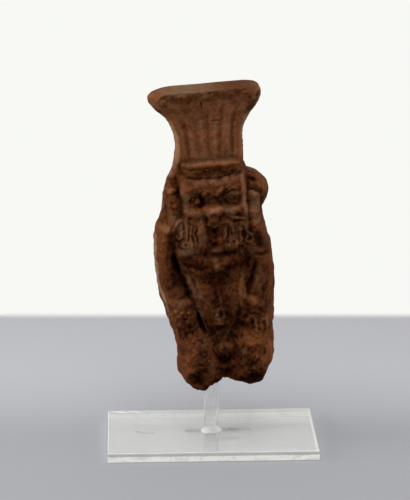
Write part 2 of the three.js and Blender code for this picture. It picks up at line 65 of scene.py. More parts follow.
FIGURE_SHIFT = 5.26                 # from the rod's axis to the middle of the figure's foot
FOOT_LEVEL = PLATE_TOP + FIGURE_RISE

# Outline: height, left edge, right edge
OUTLINE = np.array([
    (0, -14.6, 13.2), (1.5, -15.6, 14.3), (3, -16, 15.1), (6, -16, 15.8), (12, -15.6, 16.3),
    (18, -16.1, 16.4), (22, -17.4, 16.9), (28, -18.7, 17.5), (34, -20.1, 18.3), (46, -20.5, 17.8),
    (51, -20.3, 16.8), (55, -19.4, 16.2), (58, -18, 15.9), (60.5, -16.9, 16.6), (64, -16.3, 18.3),
    (67, -15.7, 18.1), (70, -14.5, 15.7), (72, -13.5, 11.9), (76, -11.8, 11), (82, -10.6, 11.2),
    (86, -11.1, 11.9), (90, -12.8, 14), (94, -16.5, 17.4), (96.5, -18.2, 18.3), (98, -18.3, 18),
    (99.2, -17.2, 17.4), (100, -14.9, 16.4)])
# Thickness: height, front, back, width of the rounded edge
THICKNESS = np.array([
    (0, 7, 6.4, 6.5), (2, 8.8, 8.2, 6.5), (6, 9.6, 8.8, 6), (14, 9.4, 9.6, 6), (22, 8.6, 10.2, 6),
    (34, 7.6, 10, 6), (46, 7, 9.4, 6), (56, 6.4, 8.8, 4.6), (62, 5.2, 8.2, 3.4), (70, 5, 7.4, 2.2),
    (75, 6.4, 6, 1.8), (80, 6.9, 5.2, 1.4), (88, 6.6, 4.7, 1.6), (94, 7, 4.5, 3.4), (97.4, 7.5, 4.6, 3.4),
    (98.8, 7.8, 4.7, 3.4), (99.6, 7.8, 4.6, 3.4), (100, 7.4, 4.2, 3.4)])
# The broken foot: place across, height of the break
BREAK = np.array([
    (-15, 4.2), (-13.4, 2.4), (-11.2, 1.4), (-9.6, 0.2), (-8.4, -0.1), (-7, 0.8), (-5.6, 2.1), (-4.4, 2.9),
    (-3, 3.2), (-1.4, 4.7), (0.4, 5.2), (2, 4.7), (3.4, 3.1), (5.6, 2), (8.4, 0.9), (10.6, 1.3), (12.4, 2.6),
    (13.8, 4.6)])
# Trunk: height, middle, half width, front
TRUNK = np.array([
    (19.4, -0.4, 4.6, 7.2), (21, -0.4, 5.2, 9.2), (22.8, -0.4, 5.9, 11.6), (24.8, -0.4, 6.6, 13.2),
    (27, -0.4, 7.3, 13.7), (31, -0.4, 8.2, 13.6), (36, -0.6, 9.6, 12.9), (41, -0.7, 11.4, 11.6),
    (44, -0.4, 12.4, 11.4), (49, -0.4, 13, 10.4)])
# Face: height, front
FACE = np.array([
    (54, 10.6), (57, 11.6), (60, 11.5), (62, 11.2), (64.5, 10.4), (67, 10.7), (68.6, 10.7), (70, 10.1),
    (72, 8.9), (73.4, 7.4), (74.8, 6.2)])


# Tools for the relief: u runs across, w up, and the relief stands out towards the front

def along(table, column, at):
    """A smooth curve through a column of a table."""
    x, y = table[:, 0], table[:, column]
    chord = np.diff(y) / np.diff(x)
    before, after = chord[:-1], chord[1:]
    both = before * after
    inner = np.where(both > 0, 2 * both / np.where(both > 0, before + after, 1), 0)
    slope = np.concatenate([chord[:1], inner, chord[-1:]])
    at = np.clip(at, x[0], x[-1])
    i = np.clip(np.searchsorted(x, at, side="right") - 1, 0, len(x) - 2)
    span = x[i + 1] - x[i]
    t = (at - x[i]) / span
    a, b, s0, s1 = y[i], y[i + 1], slope[i] * span, slope[i + 1] * span
    return a + t * (s0 + t * (3 * (b - a) - 2 * s0 - s1 + t * (s0 + s1 - 2 * (b - a))))


def ramp(low, high, x):
    """A smooth rise from 0 at low to 1 at high."""
    t = np.clip((x - low) / (high - low), 0, 1)
    return t * t * (3 - 2 * t)


def dome(r):
    """1 in the middle, falling to 0 at r = 1."""
    return np.where(np.abs(r) < 1, (1 - r * r) ** 2, 0)


def soft_max(a, b, blend):
    """The larger of two, the crease between them filled over a width of blend."""
    h = np.maximum(blend - np.abs(a - b), 0) / blend
    return np.maximum(a, b) + h * h * blend / 4


def merged(parts, blend):
    """Several forms run softly into one."""
    out = parts[0]
    for part in parts[1:]:
        out = soft_max(out, part, blend)
    return out


def from_line(u, w, line):
    """Distance to a run of lines, and the part of the run that is nearest."""
    points = np.asarray(line, float)
    steps = np.diff(points, axis=0)
    length = np.hypot(*steps.T)
    start = np.concatenate([[0], np.cumsum(length)])
    best = np.full(np.broadcast(u, w).shape, 1e9)
    run = np.zeros_like(best)
    for (u0, w0), (du, dw), n, s in zip(points, steps, length, start):
        t = np.clip(((u - u0) * du + (w - w0) * dw) / (n * n), 0, 1)
        d = np.hypot(u - u0 - t * du, w - w0 - t * dw)
        near = d < best
        best = np.where(near, d, best)
        run = np.where(near, s + t * n, run)
    return best, run / start[-1]


def curve(points, steps=6):
    """A smooth run of lines through a few points."""
    p = np.asarray(points, float)
    if len(p) < 3:
        return p
    q = np.vstack([2 * p[0] - p[1], p, 2 * p[-1] - p[-2]])
    out = []
    for a, b, c, d in zip(q, q[1:], q[2:], q[3:]):
        t = np.linspace(0, 1, steps, endpoint=False)[:, None]
        out.append(0.5 * (2 * b + (c - a) * t + (2 * a - 5 * b + 4 * c - d) * t ** 2
                          + (3 * b - a - 3 * c + d) * t ** 3))
    return np.vstack(out + [p[-1:]])


def noise(u, w, size, seed):
    """Smooth lumps of one size, from -1 to 1."""
    grid = np.random.default_rng(seed).uniform(-1, 1, (256, 256))
    x, y = u / size + 77.3, w / size + 31.7
    i, j = np.floor(x).astype(int), np.floor(y).astype(int)
    fx, fy = ramp(0, 1, x - i), ramp(0, 1, y - j)
    low = grid[i % 256, j % 256] * (1 - fx) + grid[(i + 1) % 256, j % 256] * fx
    high = grid[i % 256, (j + 1) % 256] * (1 - fx) + grid[(i + 1) % 256, (j + 1) % 256] * fx
    return low * (1 - fy) + high * fy


def lumpy(u, w, *layers):
    """Layers of lumps in one sum: amount, size and seed of each."""
    return sum(amount * noise(u, w, size, seed) for amount, size, seed in layers)


def wander(u, w):
    """Places shifted a little, so that no line runs quite true; less in the crown."""
    far = 0.3 + 0.7 * ramp(79, 72, w)
    return (u + far * lumpy(u, w, (0.3, 2.8, 81), (0.17, 1, 82)),
            w + far * lumpy(u, w, (0.3, 2.6, 83), (0.17, 0.9, 84)))


class Field:
    """Heights, or a tone, over u and w, worked with strokes, mounds and rings."""

    def __init__(self, u, w):
        self.u, self.w = u, w
        self.h = np.zeros(np.broadcast(u, w).shape)

    def stroke(self, width, height, *points, taper=0.22):
        """A groove or ridge along a line, thinner and weaker towards its ends."""
        line = curve(points)
        low, high = line.min(0) - width, line.max(0) + width
        m = (self.u > low[0]) & (self.u < high[0]) & (self.w > low[1]) & (self.w < high[1])
        if m.any():
            d, part = from_line(self.u[m], self.w[m], line)
            fade = 0.3 + 0.7 * np.clip(np.minimum(part, 1 - part) / taper, 0, 1)
            self.h[m] += height * fade * dome(d / (width * (0.65 + 0.35 * fade)))

    def mound(self, u, w, wide, high, height, turn=0):
        """A rounded heap, or a hollow where its height is below 0."""
        c, s = math.cos(math.radians(turn)), math.sin(math.radians(turn))
        a, b = self.u - u, self.w - w
        self.h += height * dome(np.hypot((a * c + b * s) / wide, (b * c - a * s) / high))

    def ring(self, u, w, wide, high, width, height):
        """A ridge round a place, or a groove where its height is below 0."""
        r = np.hypot((self.u - u) / wide, (self.w - w) / high)
        self.h += height * dome((r - 1) * min(wide, high) / width)

    def work(self, strokes=(), mounds=(), rings=()):
        for tool, marks in ((self.stroke, strokes), (self.mound, mounds), (self.ring, rings)):
            for mark in marks:
                tool(*mark)


# The figure's masses

def swelling(u, w, at, size, front, power=2.0, sharp=1.5):
    """A rounded form: its middle, its half sizes and how far it stands out."""
    r = (np.abs((u - at[0]) / size[0]) ** power + np.abs((w - at[1]) / size[1]) ** power) ** (1 / power)
    return np.where(r < 1, front * np.sqrt(np.clip(1 - r ** (sharp * power), 0, 1)), 0)


def limb(u, w, line, radii, middle):
    """A round limb along a line: its radius at each end and how far its own middle stands out."""
    d, part = from_line(u, w, curve(line))
    radius = radii[0] + (radii[1] - radii[0]) * part
    return np.where(d < radius, middle + np.sqrt(np.clip(radius ** 2 - d ** 2, 0, None)), 0)


def shoulder(t):
    """1 at t = 0 and less, falling in a quarter circle to 0 at t = 1."""
    return np.sqrt(np.clip(1 - np.clip(t, 0, 1) ** 2, 0, 1))


def trunk(u, w):
    across = np.abs((u - along(TRUNK, 1, w)) / along(TRUNK, 2, w))
    inside = (across < 1) & (w >= TRUNK[0, 0]) & (w <= TRUNK[-1, 0])
    return np.where(inside, along(TRUNK, 3, w) * np.sqrt(np.clip(1 - across ** 2.1, 0, 1)), 0)


def face_slab(u, w):
    """The flat face: rounded to the left, a sharp edge on the right."""
    side = shoulder((-6.6 - u) / 4.6) ** 1.4 * shoulder((u - 9.0) / 2.6) ** 1.2
    inside = (w > 54) & (w < 74.8) & (side > 0)
    return np.where(inside, 5.0 + (along(FACE, 1, w) - 5.0) * side, 0)


def head_sides(u, w):
    """Ears, the necks under them and the hollows between neck and shoulder."""
    return merged([
        swelling(u, w, (13.4, 67.4), (5, 5.4), 8.2, 2.2),
        limb(u, w, [(12.2, 64), (12.4, 57)], (2.8, 2.8), 7),
        swelling(u, w, (-12.8, 67), (3.9, 5.8), 7.4, 2.2),
        limb(u, w, [(-12, 64.6), (-11.9, 57)], (2.8, 3.2), 6.2),
        swelling(u, w, (-11.4, 51), (4.4, 9), 8.6, 2.4),
        swelling(u, w, (11.2, 51), (4, 8), 8.8, 2.4)], 1.2)


def beard_mass(u, w):
    across = np.abs((u + 0.8) / np.where(u < -0.8, 13.2, 12.4))
    loose = ramp(4, 7, u)
    hem = np.where(u < 0, ramp(42.6, 50.6, w), ramp(43.8 - 0.8 * loose, 49.4 + loose, w))
    front = 12.1 - 0.35 * ramp(56, 61, w)
    up = 1 - ramp(58.0, 63.5, w)
    return np.where(across < 1, front * np.sqrt(np.clip(1 - across ** 2.8, 0, 1)) * hem ** 0.5 * up ** 0.5, 0)


LEFT_ARM = [(-16.0, 54.4), (-17.2, 50), (-17.3, 43), (-16.2, 37.5), (-14.4, 33), (-12.8, 28)]
RIGHT_ARM = [(12.8, 54.8), (15.3, 49), (15.2, 42), (13.9, 36), (12.0, 31.4), (11.4, 27.5)]


def arms(u, w):
    return merged([
        limb(u, w, LEFT_ARM, (4.2, 4.2), 4.6),
        limb(u, w, RIGHT_ARM, (3.6, 3.5), 4.9),
        swelling(u, w, (-13, 24.6), (6, 7.6), 10.2, 2.2),
        swelling(u, w, (12.2, 24.4), (5.4, 7.4), 10.2, 2.2)], 1.2)


def legs(u, w):
    left = swelling(u, w, (-8.9, 11.4), (8.4, 11.8), 11.6, 2.6)
    right = swelling(u, w, (9.6, 11.4), (7.8, 11.6), 11.8, 2.6)
    return np.maximum(np.maximum(left, right), swelling(u, w, (0.1, 15.4), (4.2, 3.9), 10.6))


# Carving: a stroke is width, height and points; a mound u, w, wide, high, height and now and then a turn
# in degrees; a ring u, w, wide, high, width and height

LIP = np.array([
    (-18.5, 94.4), (-15, 95.2), (-12.8, 96.3), (-9.4, 97.6), (-4, 97.8), (2, 98.2), (8, 98.5), (12.8, 97.4),
    (15.9, 96.3), (18.5, 95.2)])
# Flutes of the crown: how deep, and the line
FLUTES = [
    (1, [(-6.5, 77.6), (-6.9, 84), (-7.6, 90.5)]), (0.65, [(-3.1, 77.6), (-3.5, 85), (-4.4, 92.5)]),
    (0.9, [(0.1, 77.6), (0, 86), (0.5, 93.5)]), (1, [(3.4, 77.6), (4.1, 85.5), (5.7, 95.5)]),
    (1.25, [(7.2, 77.6), (7.8, 86), (9.5, 93.4)])]
CROWN = dict(
    strokes=[
        (0.9, -0.3, (-16.6, 97.6), (-15.2, 98.6), (-13, 98.8)),
        (0.7, -0.25, (13.6, 96.2), (15, 97.4), (15.4, 98.8)),
        (0.4, -0.7, (-1.55, 96.6), (-1.35, 95.2), (-1.1, 93.8)),
        (0.35, -0.45, (0.9, 89.5), (2.5, 89.75), (4.5, 89.75)),
        (1.2, 0.3, (-9.2, 79), (-9.3, 86), (-11.6, 93.4)), (0.8, 0.25, (9.9, 79), (10.3, 87), (11.6, 92.4))],
    mounds=[
        (1.6, 98.9, 0.7, 0.6, -0.3), (-12.9, 95.8, 1.3, 0.9, -0.2), (16.6, 96.4, 1.4, 1.3, -0.6),
        (-17.2, 96.2, 1, 0.8, -0.5), (-14.4, 94, 0.9, 0.8, -0.5), (-15.9, 97, 2, 1.5, 0.7),
        (-12.9, 98.4, 1.6, 1, -0.35), (15, 97.6, 1.9, 1.3, 0.5), (-8, 98.9, 2.2, 0.8, 0.25),
        (-3.4, 98.6, 1.4, 0.7, -0.25), (5.6, 99, 1.8, 0.8, 0.25), (10.4, 98.4, 1.4, 0.8, -0.3),
        (-11.2, 95.4, 2.6, 1.4, 0.3), (4, 94.5, 4, 2.5, -0.2), (-6, 93, 3, 2.6, -0.15)])
HEADBAND = dict(
    strokes=[
        (1.1, 0.4, (-8, 75.4), (-2, 75.6), (4, 75.5), (9, 75.4)),
        (0.5, -0.2, (-7.6, 74.6), (-4.4, 74.9), (-2.2, 74.4))],
    mounds=[(-1.6, 74.5, 1, 0.6, 0.3), (0.8, 74.1, 0.7, 0.5, -0.25), (5.2, 74.4, 1.2, 0.6, -0.2)])
BROWS = dict(
    strokes=[
        (0.8, 0.4, (9.6, 72.6), (9.7, 69), (10, 64), (10.2, 58.6)),
        (0.8, -0.2, (9, 69.6), (9.2, 66), (9.3, 62)),
        (1, 0.45, (-8.4, 66), (-8.1, 68), (-6.6, 69.1), (-4.9, 68.9)),
        (0.85, 0.9, (1.1, 66.1), (2, 67.4), (3.3, 68.9)), (0.7, 0.5, (2.2, 65.2), (3, 64.3)),
        (0.9, -0.3, (2.5, 66.6), (3.4, 66.3), (4, 67.6)), (0.5, -0.2, (-1.3, 69), (-0.9, 67.4), (-1.4, 66)),
        (0.5, 0.45, (-3.4, 69.3), (-2.5, 67.8), (-2, 66.4)),
        (0.45, -0.2, (0.4, 68.6), (0.3, 67.2), (-0.2, 66)), (0.45, -0.35, (-3.6, 69.2), (-2.8, 67.8))],
    mounds=[(-0.9, 66.8, 2.2, 2.4, 0.4), (-0.4, 64.4, 1.7, 2, 0.4), (-5.4, 67.2, 1.3, 1.1, -0.15)])
EYES = dict(
    strokes=[
        (1.1, -0.9, (-4, 66.9), (-3.4, 65), (-3.7, 63.6), (-5, 62.8)),
        (0.6, -0.4, (-7.3, 63.8), (-7.2, 65.4), (-6.1, 66.4)),
        (0.45, 0.35, (4.4, 67.2), (6, 68.7), (8.2, 68)), (0.4, 0.3, (5.2, 66.4), (6.6, 67.4), (8.2, 66.6)),
        (0.9, -0.3, (3.6, 64.9), (4, 63.6), (5.2, 62.9)),
        (0.5, -0.3, (5.8, 63.4), (7.2, 63.2), (8.4, 63.9))],
    mounds=[
        (-5.1, 64.8, 2.6, 2.4, -0.35), (-5.1, 64.8, 1.6, 1.5, 0.9), (6.1, 65.3, 2.5, 2.2, 0.5),
        (4.2, 64.2, 1.1, 1.4, -0.2), (7.4, 66.5, 1.1, 0.9, 0.25)],
    rings=[(-5.1, 64.8, 0.9, 0.9, 0.45, -0.4), (6.2, 65.4, 2.8, 2.6, 0.9, -0.1)])
CHEEKS = dict(
    strokes=[(0.5, 0.7, (4.6, 59.4), (7, 58.6), (9.6, 58.3)), (0.6, -0.4, (-3.1, 60.6), (-3, 58.2))],
    mounds=[
        (-6, 60.9, 3.6, 2.6, 0.8), (6, 61, 3.8, 2.4, 0.9), (-7.8, 59.7, 1.1, 1, -0.8),
        (7.3, 59.8, 1.6, 1.1, -0.6), (6.9, 57.4, 2, 0.8, -0.4)])
NOSE = dict(
    strokes=[
        (2.2, 0.4, (-0.3, 65.5), (-0.1, 62)), (0.7, -0.8, (-2.4, 60.4), (-2.5, 57.4)),
        (0.7, -0.8, (1.6, 60.4), (1.7, 57.6))],
    mounds=[
        (-0.9, 58.9, 1.5, 1.3, 0.5), (1.9, 58.9, 0.8, 0.9, 0.3), (-2.3, 59.5, 0.8, 1.3, -0.8),
        (1.5, 59.6, 0.7, 1.3, -0.8), (-0.3, 60.6, 1.6, 0.5, -0.3)])
MOUTH = dict(
    strokes=[
        (2.2, -0.5, (-0.7, 55.8), (-0.7, 53.6), (-0.9, 50.4)),
        (0.45, 1, (-1.6, 56.7), (-0.2, 56.9), (1.2, 56.7)), (0.6, -0.4, (-3.8, 50), (-3.9, 46)),
        (0.6, -0.4, (2.5, 50), (2.5, 46.2))],
    mounds=[
        (-0.6, 55.4, 2.5, 1.3, -0.45), (-0.9, 53.8, 1.1, 0.8, 0.5), (-0.8, 52, 0.8, 0.6, 0.4),
        (-0.6, 50.6, 1.6, 1.1, -0.9), (1.3, 52.2, 1, 1.6, 0.8), (-0.4, 48.2, 3, 1.3, 0.5)])
# Locks of the beard: grooves, and ridges that swing round into hooks
LOCK_GROOVES = [
    [(-10.6, 58.6), (-11.6, 57), (-12.6, 55.2)], [(-10, 57.8), (-9.9, 55.6), (-10.2, 53.4), (-10.4, 52.4)],
    [(-8.3, 58), (-8.3, 56), (-8.6, 54), (-8.7, 52.4)],
    [(-7.4, 57), (-7.4, 54.6), (-7.2, 52.6), (-7.2, 50.4)],
    [(-6.3, 56.6), (-6.2, 54.4), (-5.7, 52.2), (-5.4, 50.4)],
    [(-12.9, 52.6), (-12.2, 51.9), (-11.4, 51.9), (-10.8, 52.8)],
    [(-10.8, 51.2), (-10.2, 50.3), (-9.3, 50.5)], [(3.9, 56.2), (3.6, 54), (3.3, 51.2)],
    [(4.8, 55.4), (4.8, 53.4), (4.5, 52.2)], [(7.2, 52.6), (7.2, 50.2)],
    [(8.9, 55.6), (8.9, 53.8), (8.8, 52.2)], [(10.7, 54.4), (11.3, 53), (12, 52.6)]]
LOCK_RIDGES = [
    [(-10, 59.2), (-11.8, 58), (-13, 56), (-13.4, 54)],
    [(-10.6, 57.4), (-10.8, 55.2), (-11.1, 53.4), (-11.8, 52.8), (-12.6, 53.4)],
    [(-9.4, 57.8), (-9.2, 55.6), (-9.3, 53.6), (-9.8, 51.9)],
    [(-7.8, 56.6), (-7.9, 54.6), (-8.3, 52.8), (-7.9, 50.6), (-8.6, 49.6)],
    [(-6.9, 56.8), (-6.8, 54.2), (-6.4, 52), (-6.2, 50)],
    [(1.9, 57.4), (3.6, 57.6), (5, 56.8), (5.5, 54.8), (5.2, 52.6)], [(3.1, 56), (2.9, 53.4), (2.7, 50.6)],
    [(4.4, 52.8), (3.9, 50.8), (3.4, 49)], [(6.4, 51.6), (6.4, 48.8)],
    [(8.5, 57), (8, 55), (7.8, 52.6), (8.1, 50.4)],
    [(8.5, 57), (9.6, 55.4), (10.3, 53.4), (11.4, 52), (12.5, 52.4)],
    [(9.9, 53.6), (9.8, 51.6), (9.3, 50.2)]]
# Curls: place, size and height
CURLS = [
    (-9.9, 50.7, 0.9, 0.4), (5.2, 50.9, 0.8, 0.4), (10.6, 50.8, 1.1, 0.45), (8.4, 48.8, 0.7, 0.35),
    (-11.8, 53.1, 0.7, 0.25)]
BEARD = dict(
    strokes=[
        (1.5, 0.5, (-4.4, 58.4), (-4.7, 55), (-4.3, 51), (-4.6, 48.8)),
        (0.9, -0.3, (-12.9, 50.4), (-11, 49.4), (-8.6, 49.2), (-6.6, 49.6)),
        (1.1, -0.2, (1.8, 47.8), (3.4, 47.3), (5.4, 47.5)), (0.5, 0.35, (6.6, 48.8), (6.4, 45.6)),
        (0.5, 0.3, (8, 47.6), (7.8, 45.2))],
    mounds=[(-9, 47.6, 4.6, 2, 0.4), (9.6, 46.8, 1.4, 1.2, 0.3)])
EARS = dict(
    strokes=[
        (1.3, 0.55, (10.9, 66.9), (12.6, 68.4), (15, 68.1), (16.4, 66.2), (16, 64)),
        (0.9, 0.4, (11.2, 71.6), (13.2, 71.7), (15.4, 70.2), (16.8, 68.2)),
        (0.5, -0.6, (13.3, 59.1), (13.4, 57.5)), (1.2, -0.4, (-10.9, 69.2), (-11, 67.4), (-11.3, 65.4)),
        (0.9, -0.3, (-14.2, 70.1), (-12.4, 71.4), (-10.8, 73.2)),
        (0.7, -0.22, (-15, 66.3), (-13.4, 66.7), (-12, 66.1)), (0.7, -0.2, (-15, 64.2), (-12.1, 64.6)),
        (0.7, -0.2, (-15, 62.5), (-12.8, 62.9))],
    mounds=[
        (13.2, 66.1, 2, 1.7, -0.15), (13.4, 63.8, 1.2, 1.2, 0.4), (13.2, 70.1, 1.6, 1.1, -1.2),
        (16.9, 66.4, 1.5, 2.4, 0.4), (-13, 68.3, 2.4, 1.4, 0.4), (-12.7, 70.7, 1.5, 1.2, -0.4),
        (-13.2, 61.4, 2.4, 1.8, 0.5)])
# Gaps beside the trunk: u, w, wide, high
SLITS = [
    (-14, 45.2, 1.2, 1.8), (-13.6, 43.2, 1.4, 2), (-13, 41, 1, 1.3), (-11.4, 36, 0.8, 1.2),
    (-10.7, 33.8, 0.8, 1.4), (-7.8, 26.4, 0.9, 1.4), (-7.4, 24.7, 1.05, 1.7), (-6.9, 22.6, 1.1, 1.8),
    (-6.4, 20.9, 0.9, 1.2)]
ARM_CARVING = dict(
    strokes=[
        (1.3, -1.5, (-14, 47), (-13.6, 43.4), (-12.8, 40.4)),
        (1.7, -0.9, (-12.9, 41), (-11.8, 37.4), (-10.9, 34.6), (-9.8, 31.6)),
        (1.6, -0.8, (-14.4, 52), (-14.1, 48.6), (-13.8, 46)),
        (1.6, -1, (12.5, 43.4), (11.1, 39), (9.9, 35.6), (8.9, 31.4)),
        (1.1, -1.6, (-8, 27.4), (-7.4, 24.4), (-6.4, 20.4)),
        (0.6, 0.5, (12.2, 44.2), (14.5, 43.5), (17.2, 43.9)),
        (0.7, -0.4, (12.2, 45.2), (15, 44.8), (17, 45.4)), (0.6, 0.4, (9.8, 46.8), (11.4, 44.8), (13.2, 43)),
        (1.2, -0.6, (15.9, 36.4), (14.8, 33.6), (13.4, 31)),
        (1.2, 0.4, (-18.8, 40), (-18.2, 35), (-15.6, 30.4)),
        (1.2, 0.5, (12.4, 38.6), (11.2, 35.6), (10.4, 33))],
    mounds=[
        (13.6, 49.8, 2.4, 3.8, -1), (14, 45.9, 1.3, 1.2, 0.9), (-16, 55.4, 3.6, 2, 0.9),
        (12.6, 55.6, 2.8, 1.8, 0.7), (-13.2, 30.6, 4.2, 2, 0.6), (10.2, 29.8, 2.4, 2, 0.9),
        (13.4, 33.2, 1, 1.2, -0.5), *[(*slit, -2) for slit in SLITS]])
KNUCKLES = [
    (-16.2, 27), (-15.2, 28.2), (-14.2, 26.8), (-13, 28), (-12, 26.6), (-10.9, 27.8), (-10, 26.2),
    (-15.3, 24.9), (-13.3, 25), (-11.4, 24.6), (12.2, 27.8), (13.6, 26.8), (11.2, 26.2), (14.8, 25.2),
    (12.8, 25.2)]
HANDS = dict(
    strokes=[
        (0.8, -0.9, (-14.1, 22.6), (-13.8, 20.6), (-13.4, 18.4)),
        (0.7, -0.7, (-12.3, 21.4), (-11.9, 19.4), (-11.3, 17.8)), (0.6, -0.4, (-10.6, 21.6), (-10.2, 19.8)),
        (0.6, -0.5, (13.2, 22.6), (13.3, 20), (13.2, 18.4)), (0.5, -0.4, (11.3, 20.8), (11.3, 18.2)),
        (0.7, -0.5, (11, 24.2), (9.6, 22.6), (8.4, 21.4)), (0.8, 0.6, (9.9, 25.4), (8.4, 23.8), (7.2, 22.8)),
        (1.2, -0.6, (10.4, 26), (12.4, 24.9), (15.4, 24.9)), (0.6, 0.5, (10.7, 23.8), (10.3, 19.8)),
        (0.6, 0.5, (12.3, 23.6), (12.2, 19.4)), (0.6, 0.5, (14, 23.6), (14.3, 19.6)),
        (1, -0.6, (-16.4, 23.2), (-13.6, 22.4), (-10.2, 23), (-8.8, 24.4)),
        (0.7, -0.25, (14.9, 21.8), (14.8, 19.4)), (0.6, 0.4, (7, 26.6), (8.4, 24.4)),
        (0.5, -0.4, (8.2, 27.4), (9.4, 25.4))],
    mounds=[
        (6.5, 22.3, 1.1, 1.6, -0.6), (12.9, 26.8, 3, 2.6, 0.8), (13, 28.4, 1.7, 0.8, 0.5, -20),
        (15.6, 28.4, 0.6, 1, -0.5), (11, 26.2, 1.1, 1, 0.4), (14.2, 24.6, 1.2, 0.9, 0.4),
        *[(u, w, 0.8, 0.75, 0.6) for u, w in KNUCKLES]])
TRUNK_CARVING = dict(
    strokes=[
        (1.7, -0.5, (-11, 43.7), (-8.6, 42.5), (-5.6, 42.2), (-2.8, 43)),
        (1.7, -0.5, (1.2, 43.1), (3.4, 42.1), (6.4, 41.8), (9.2, 42.9)),
        (1, 0.15, (-9.4, 42), (-6, 41.6), (-2.2, 42.2)), (1.2, 0.35, (-0.7, 46), (-0.5, 42)),
        (0.6, 0.5, (-0.5, 35.6), (-0.3, 30)), (1.4, -0.6, (-4.6, 22.2), (-1.6, 21.2), (2.4, 21.8)),
        (1.4, 0.6, (-9.9, 40), (-8.6, 35), (-7.4, 30.4), (-6.3, 25)),
        (1.6, 0.5, (8.6, 40), (6.7, 35), (6.5, 30.4), (5.8, 25)),
        (1.4, -0.25, (-5.8, 37), (-5, 30), (-4.4, 24.6)), (1.4, -0.25, (5, 36), (4.8, 30), (4.2, 24.4))],
    mounds=[
        (-7.2, 44.9, 4.8, 2.2, 0.6), (5.6, 44.6, 4.8, 2.2, 0.6), (-1, 38.6, 7, 3.4, -0.4),
        (-0.7, 27.2, 0.8, 1.3, -0.5), (-0.8, 24.4, 1.3, 1.1, 0.5), (-0.9, 22.4, 1.9, 0.9, -0.8),
        (-3.6, 23.8, 1.8, 1.9, 0.5), (2.4, 23.8, 2, 1.9, 0.5), (-3.4, 27.6, 1.8, 2.4, 0.3),
        (3.4, 28, 2.2, 2.6, 0.3), (2.4, 27.3, 1, 0.5, 0.35, 30)],
    rings=[(-0.7, 27.2, 1.2, 1.9, 0.6, 0.35)])
LEG_CARVING = dict(
    strokes=[
        (1.1, -0.9, (-3.9, 14.6), (-2.8, 12.2), (-0.8, 9.8), (1.2, 11), (3.2, 13.4)),
        (2.6, -0.9, (-0.4, 8.6), (0.2, 5.4)), (0.7, -0.5, (-0.2, 16.2), (-0.3, 13.8)),
        (1.3, 0.9, (-14.2, 8.4), (-13.2, 4.2)), (1.8, 0.6, (-5.2, 13.6), (-5.2, 8.6), (-6, 4.4)),
        (0.9, 0.5, (-12.4, 14.4), (-12.1, 10.2)), (0.8, -0.4, (-13.4, 14.6), (-13.6, 9.8)),
        (0.6, 0.5, (9.9, 13.8), (10, 12), (9.6, 10.6)), (0.6, 0.4, (6.8, 14.4), (7.3, 13)),
        (0.8, -0.4, (12.4, 14.6), (12.2, 10.6)), (0.9, 0.5, (13.6, 14.4), (13.4, 8)),
        (0.8, -0.4, (-9.2, 10.6), (-7.4, 9.6), (-5.8, 10.4))],
    mounds=[
        (9.4, 17, 5.6, 3, 0.6), (9.6, 11.8, 3.6, 3.6, 0.6), (-9.6, 13, 3.4, 3, 0.5),
        (-0.4, 11, 2.8, 2.4, -1), (-1.6, 15, 2.5, 2.4, 1.2), (1.6, 15.2, 2.6, 2.4, 1.3),
        (8, 11.6, 1.6, 2.4, -0.3), (9.2, 4.8, 3.8, 2.6, -0.55), (5.2, 7.4, 1, 1, -0.4),
        (6.3, 8, 1.3, 1.3, 0.4), (-9.4, 6, 4.4, 3.2, -0.8), (-11.2, 11, 1.8, 1.6, 0.5),
        (-8.2, 12.4, 1.6, 1.6, -0.3), (-4.6, 19.1, 0.6, 0.5, -0.5), (-3.5, 17.3, 0.5, 0.45, -0.5),
        (-3.3, 16.1, 0.45, 0.45, -0.5), (4.1, 17.8, 0.5, 0.8, -0.6)],
    rings=[(8.3, 12, 2.2, 2.9, 1.2, 0.4)])


def crown(r):
    for deep, line in FLUTES:
        r.stroke(1.4, -0.5 * deep, *line, taper=0.15)
    lip = along(LIP, 1, r.u)
    r.h += 0.2 * ramp(lip - 1.8, lip + 1.4, r.w) * (r.w > 90)


def headband(r):
    u, w = r.u, r.w
    across = shoulder((-6.8 - u) / 2.4) * shoulder((u - 8.0) / 2.4)
    low = 71.7 + 0.014 * (u - 1) ** 2 + 0.1 * noise(u, 0 * w, 3.1, 5)
    up = shoulder((75.3 - w) / (75.3 - low)) ** 1.5 * (1 - ramp(75.7, 77.3, w))
    r.h += (2.15 + 0.25 * noise(u, w, 1.9, 6)) * across * up


def nose(r):
    half = 1.7 + 0.6 * ramp(63.5, 60, r.w)
    soft = 0.8 + 2.0 * ramp(60.2, 62.8, r.w)
    wide = 1 - ramp(half - 1.0, half + soft, np.abs(r.u + 0.3))
    r.h += 2.9 * wide * ramp(64.2, 61.0, r.w) * (0.45 + 0.55 * ramp(57.4, 60.6, r.w)) * ramp(56.8, 57.6, r.w)


def beard(r):
    locks = Field(r.u, r.w)
    locks.work([(0.6, -0.3, *line) for line in LOCK_GROOVES] + [(0.75, 0.42, *line) for line in LOCK_RIDGES])
    r.h += locks.h * np.clip(0.8 + 0.9 * noise(r.u, r.w, 1.5, 7), 0.1, 1.5)
    for u, w, size, height in CURLS:
        r.ring(u, w, size, size, 0.45, height)
        r.mound(u + 0.1, w - 0.1, 0.6 * size, 0.5 * size, -0.7 * height)


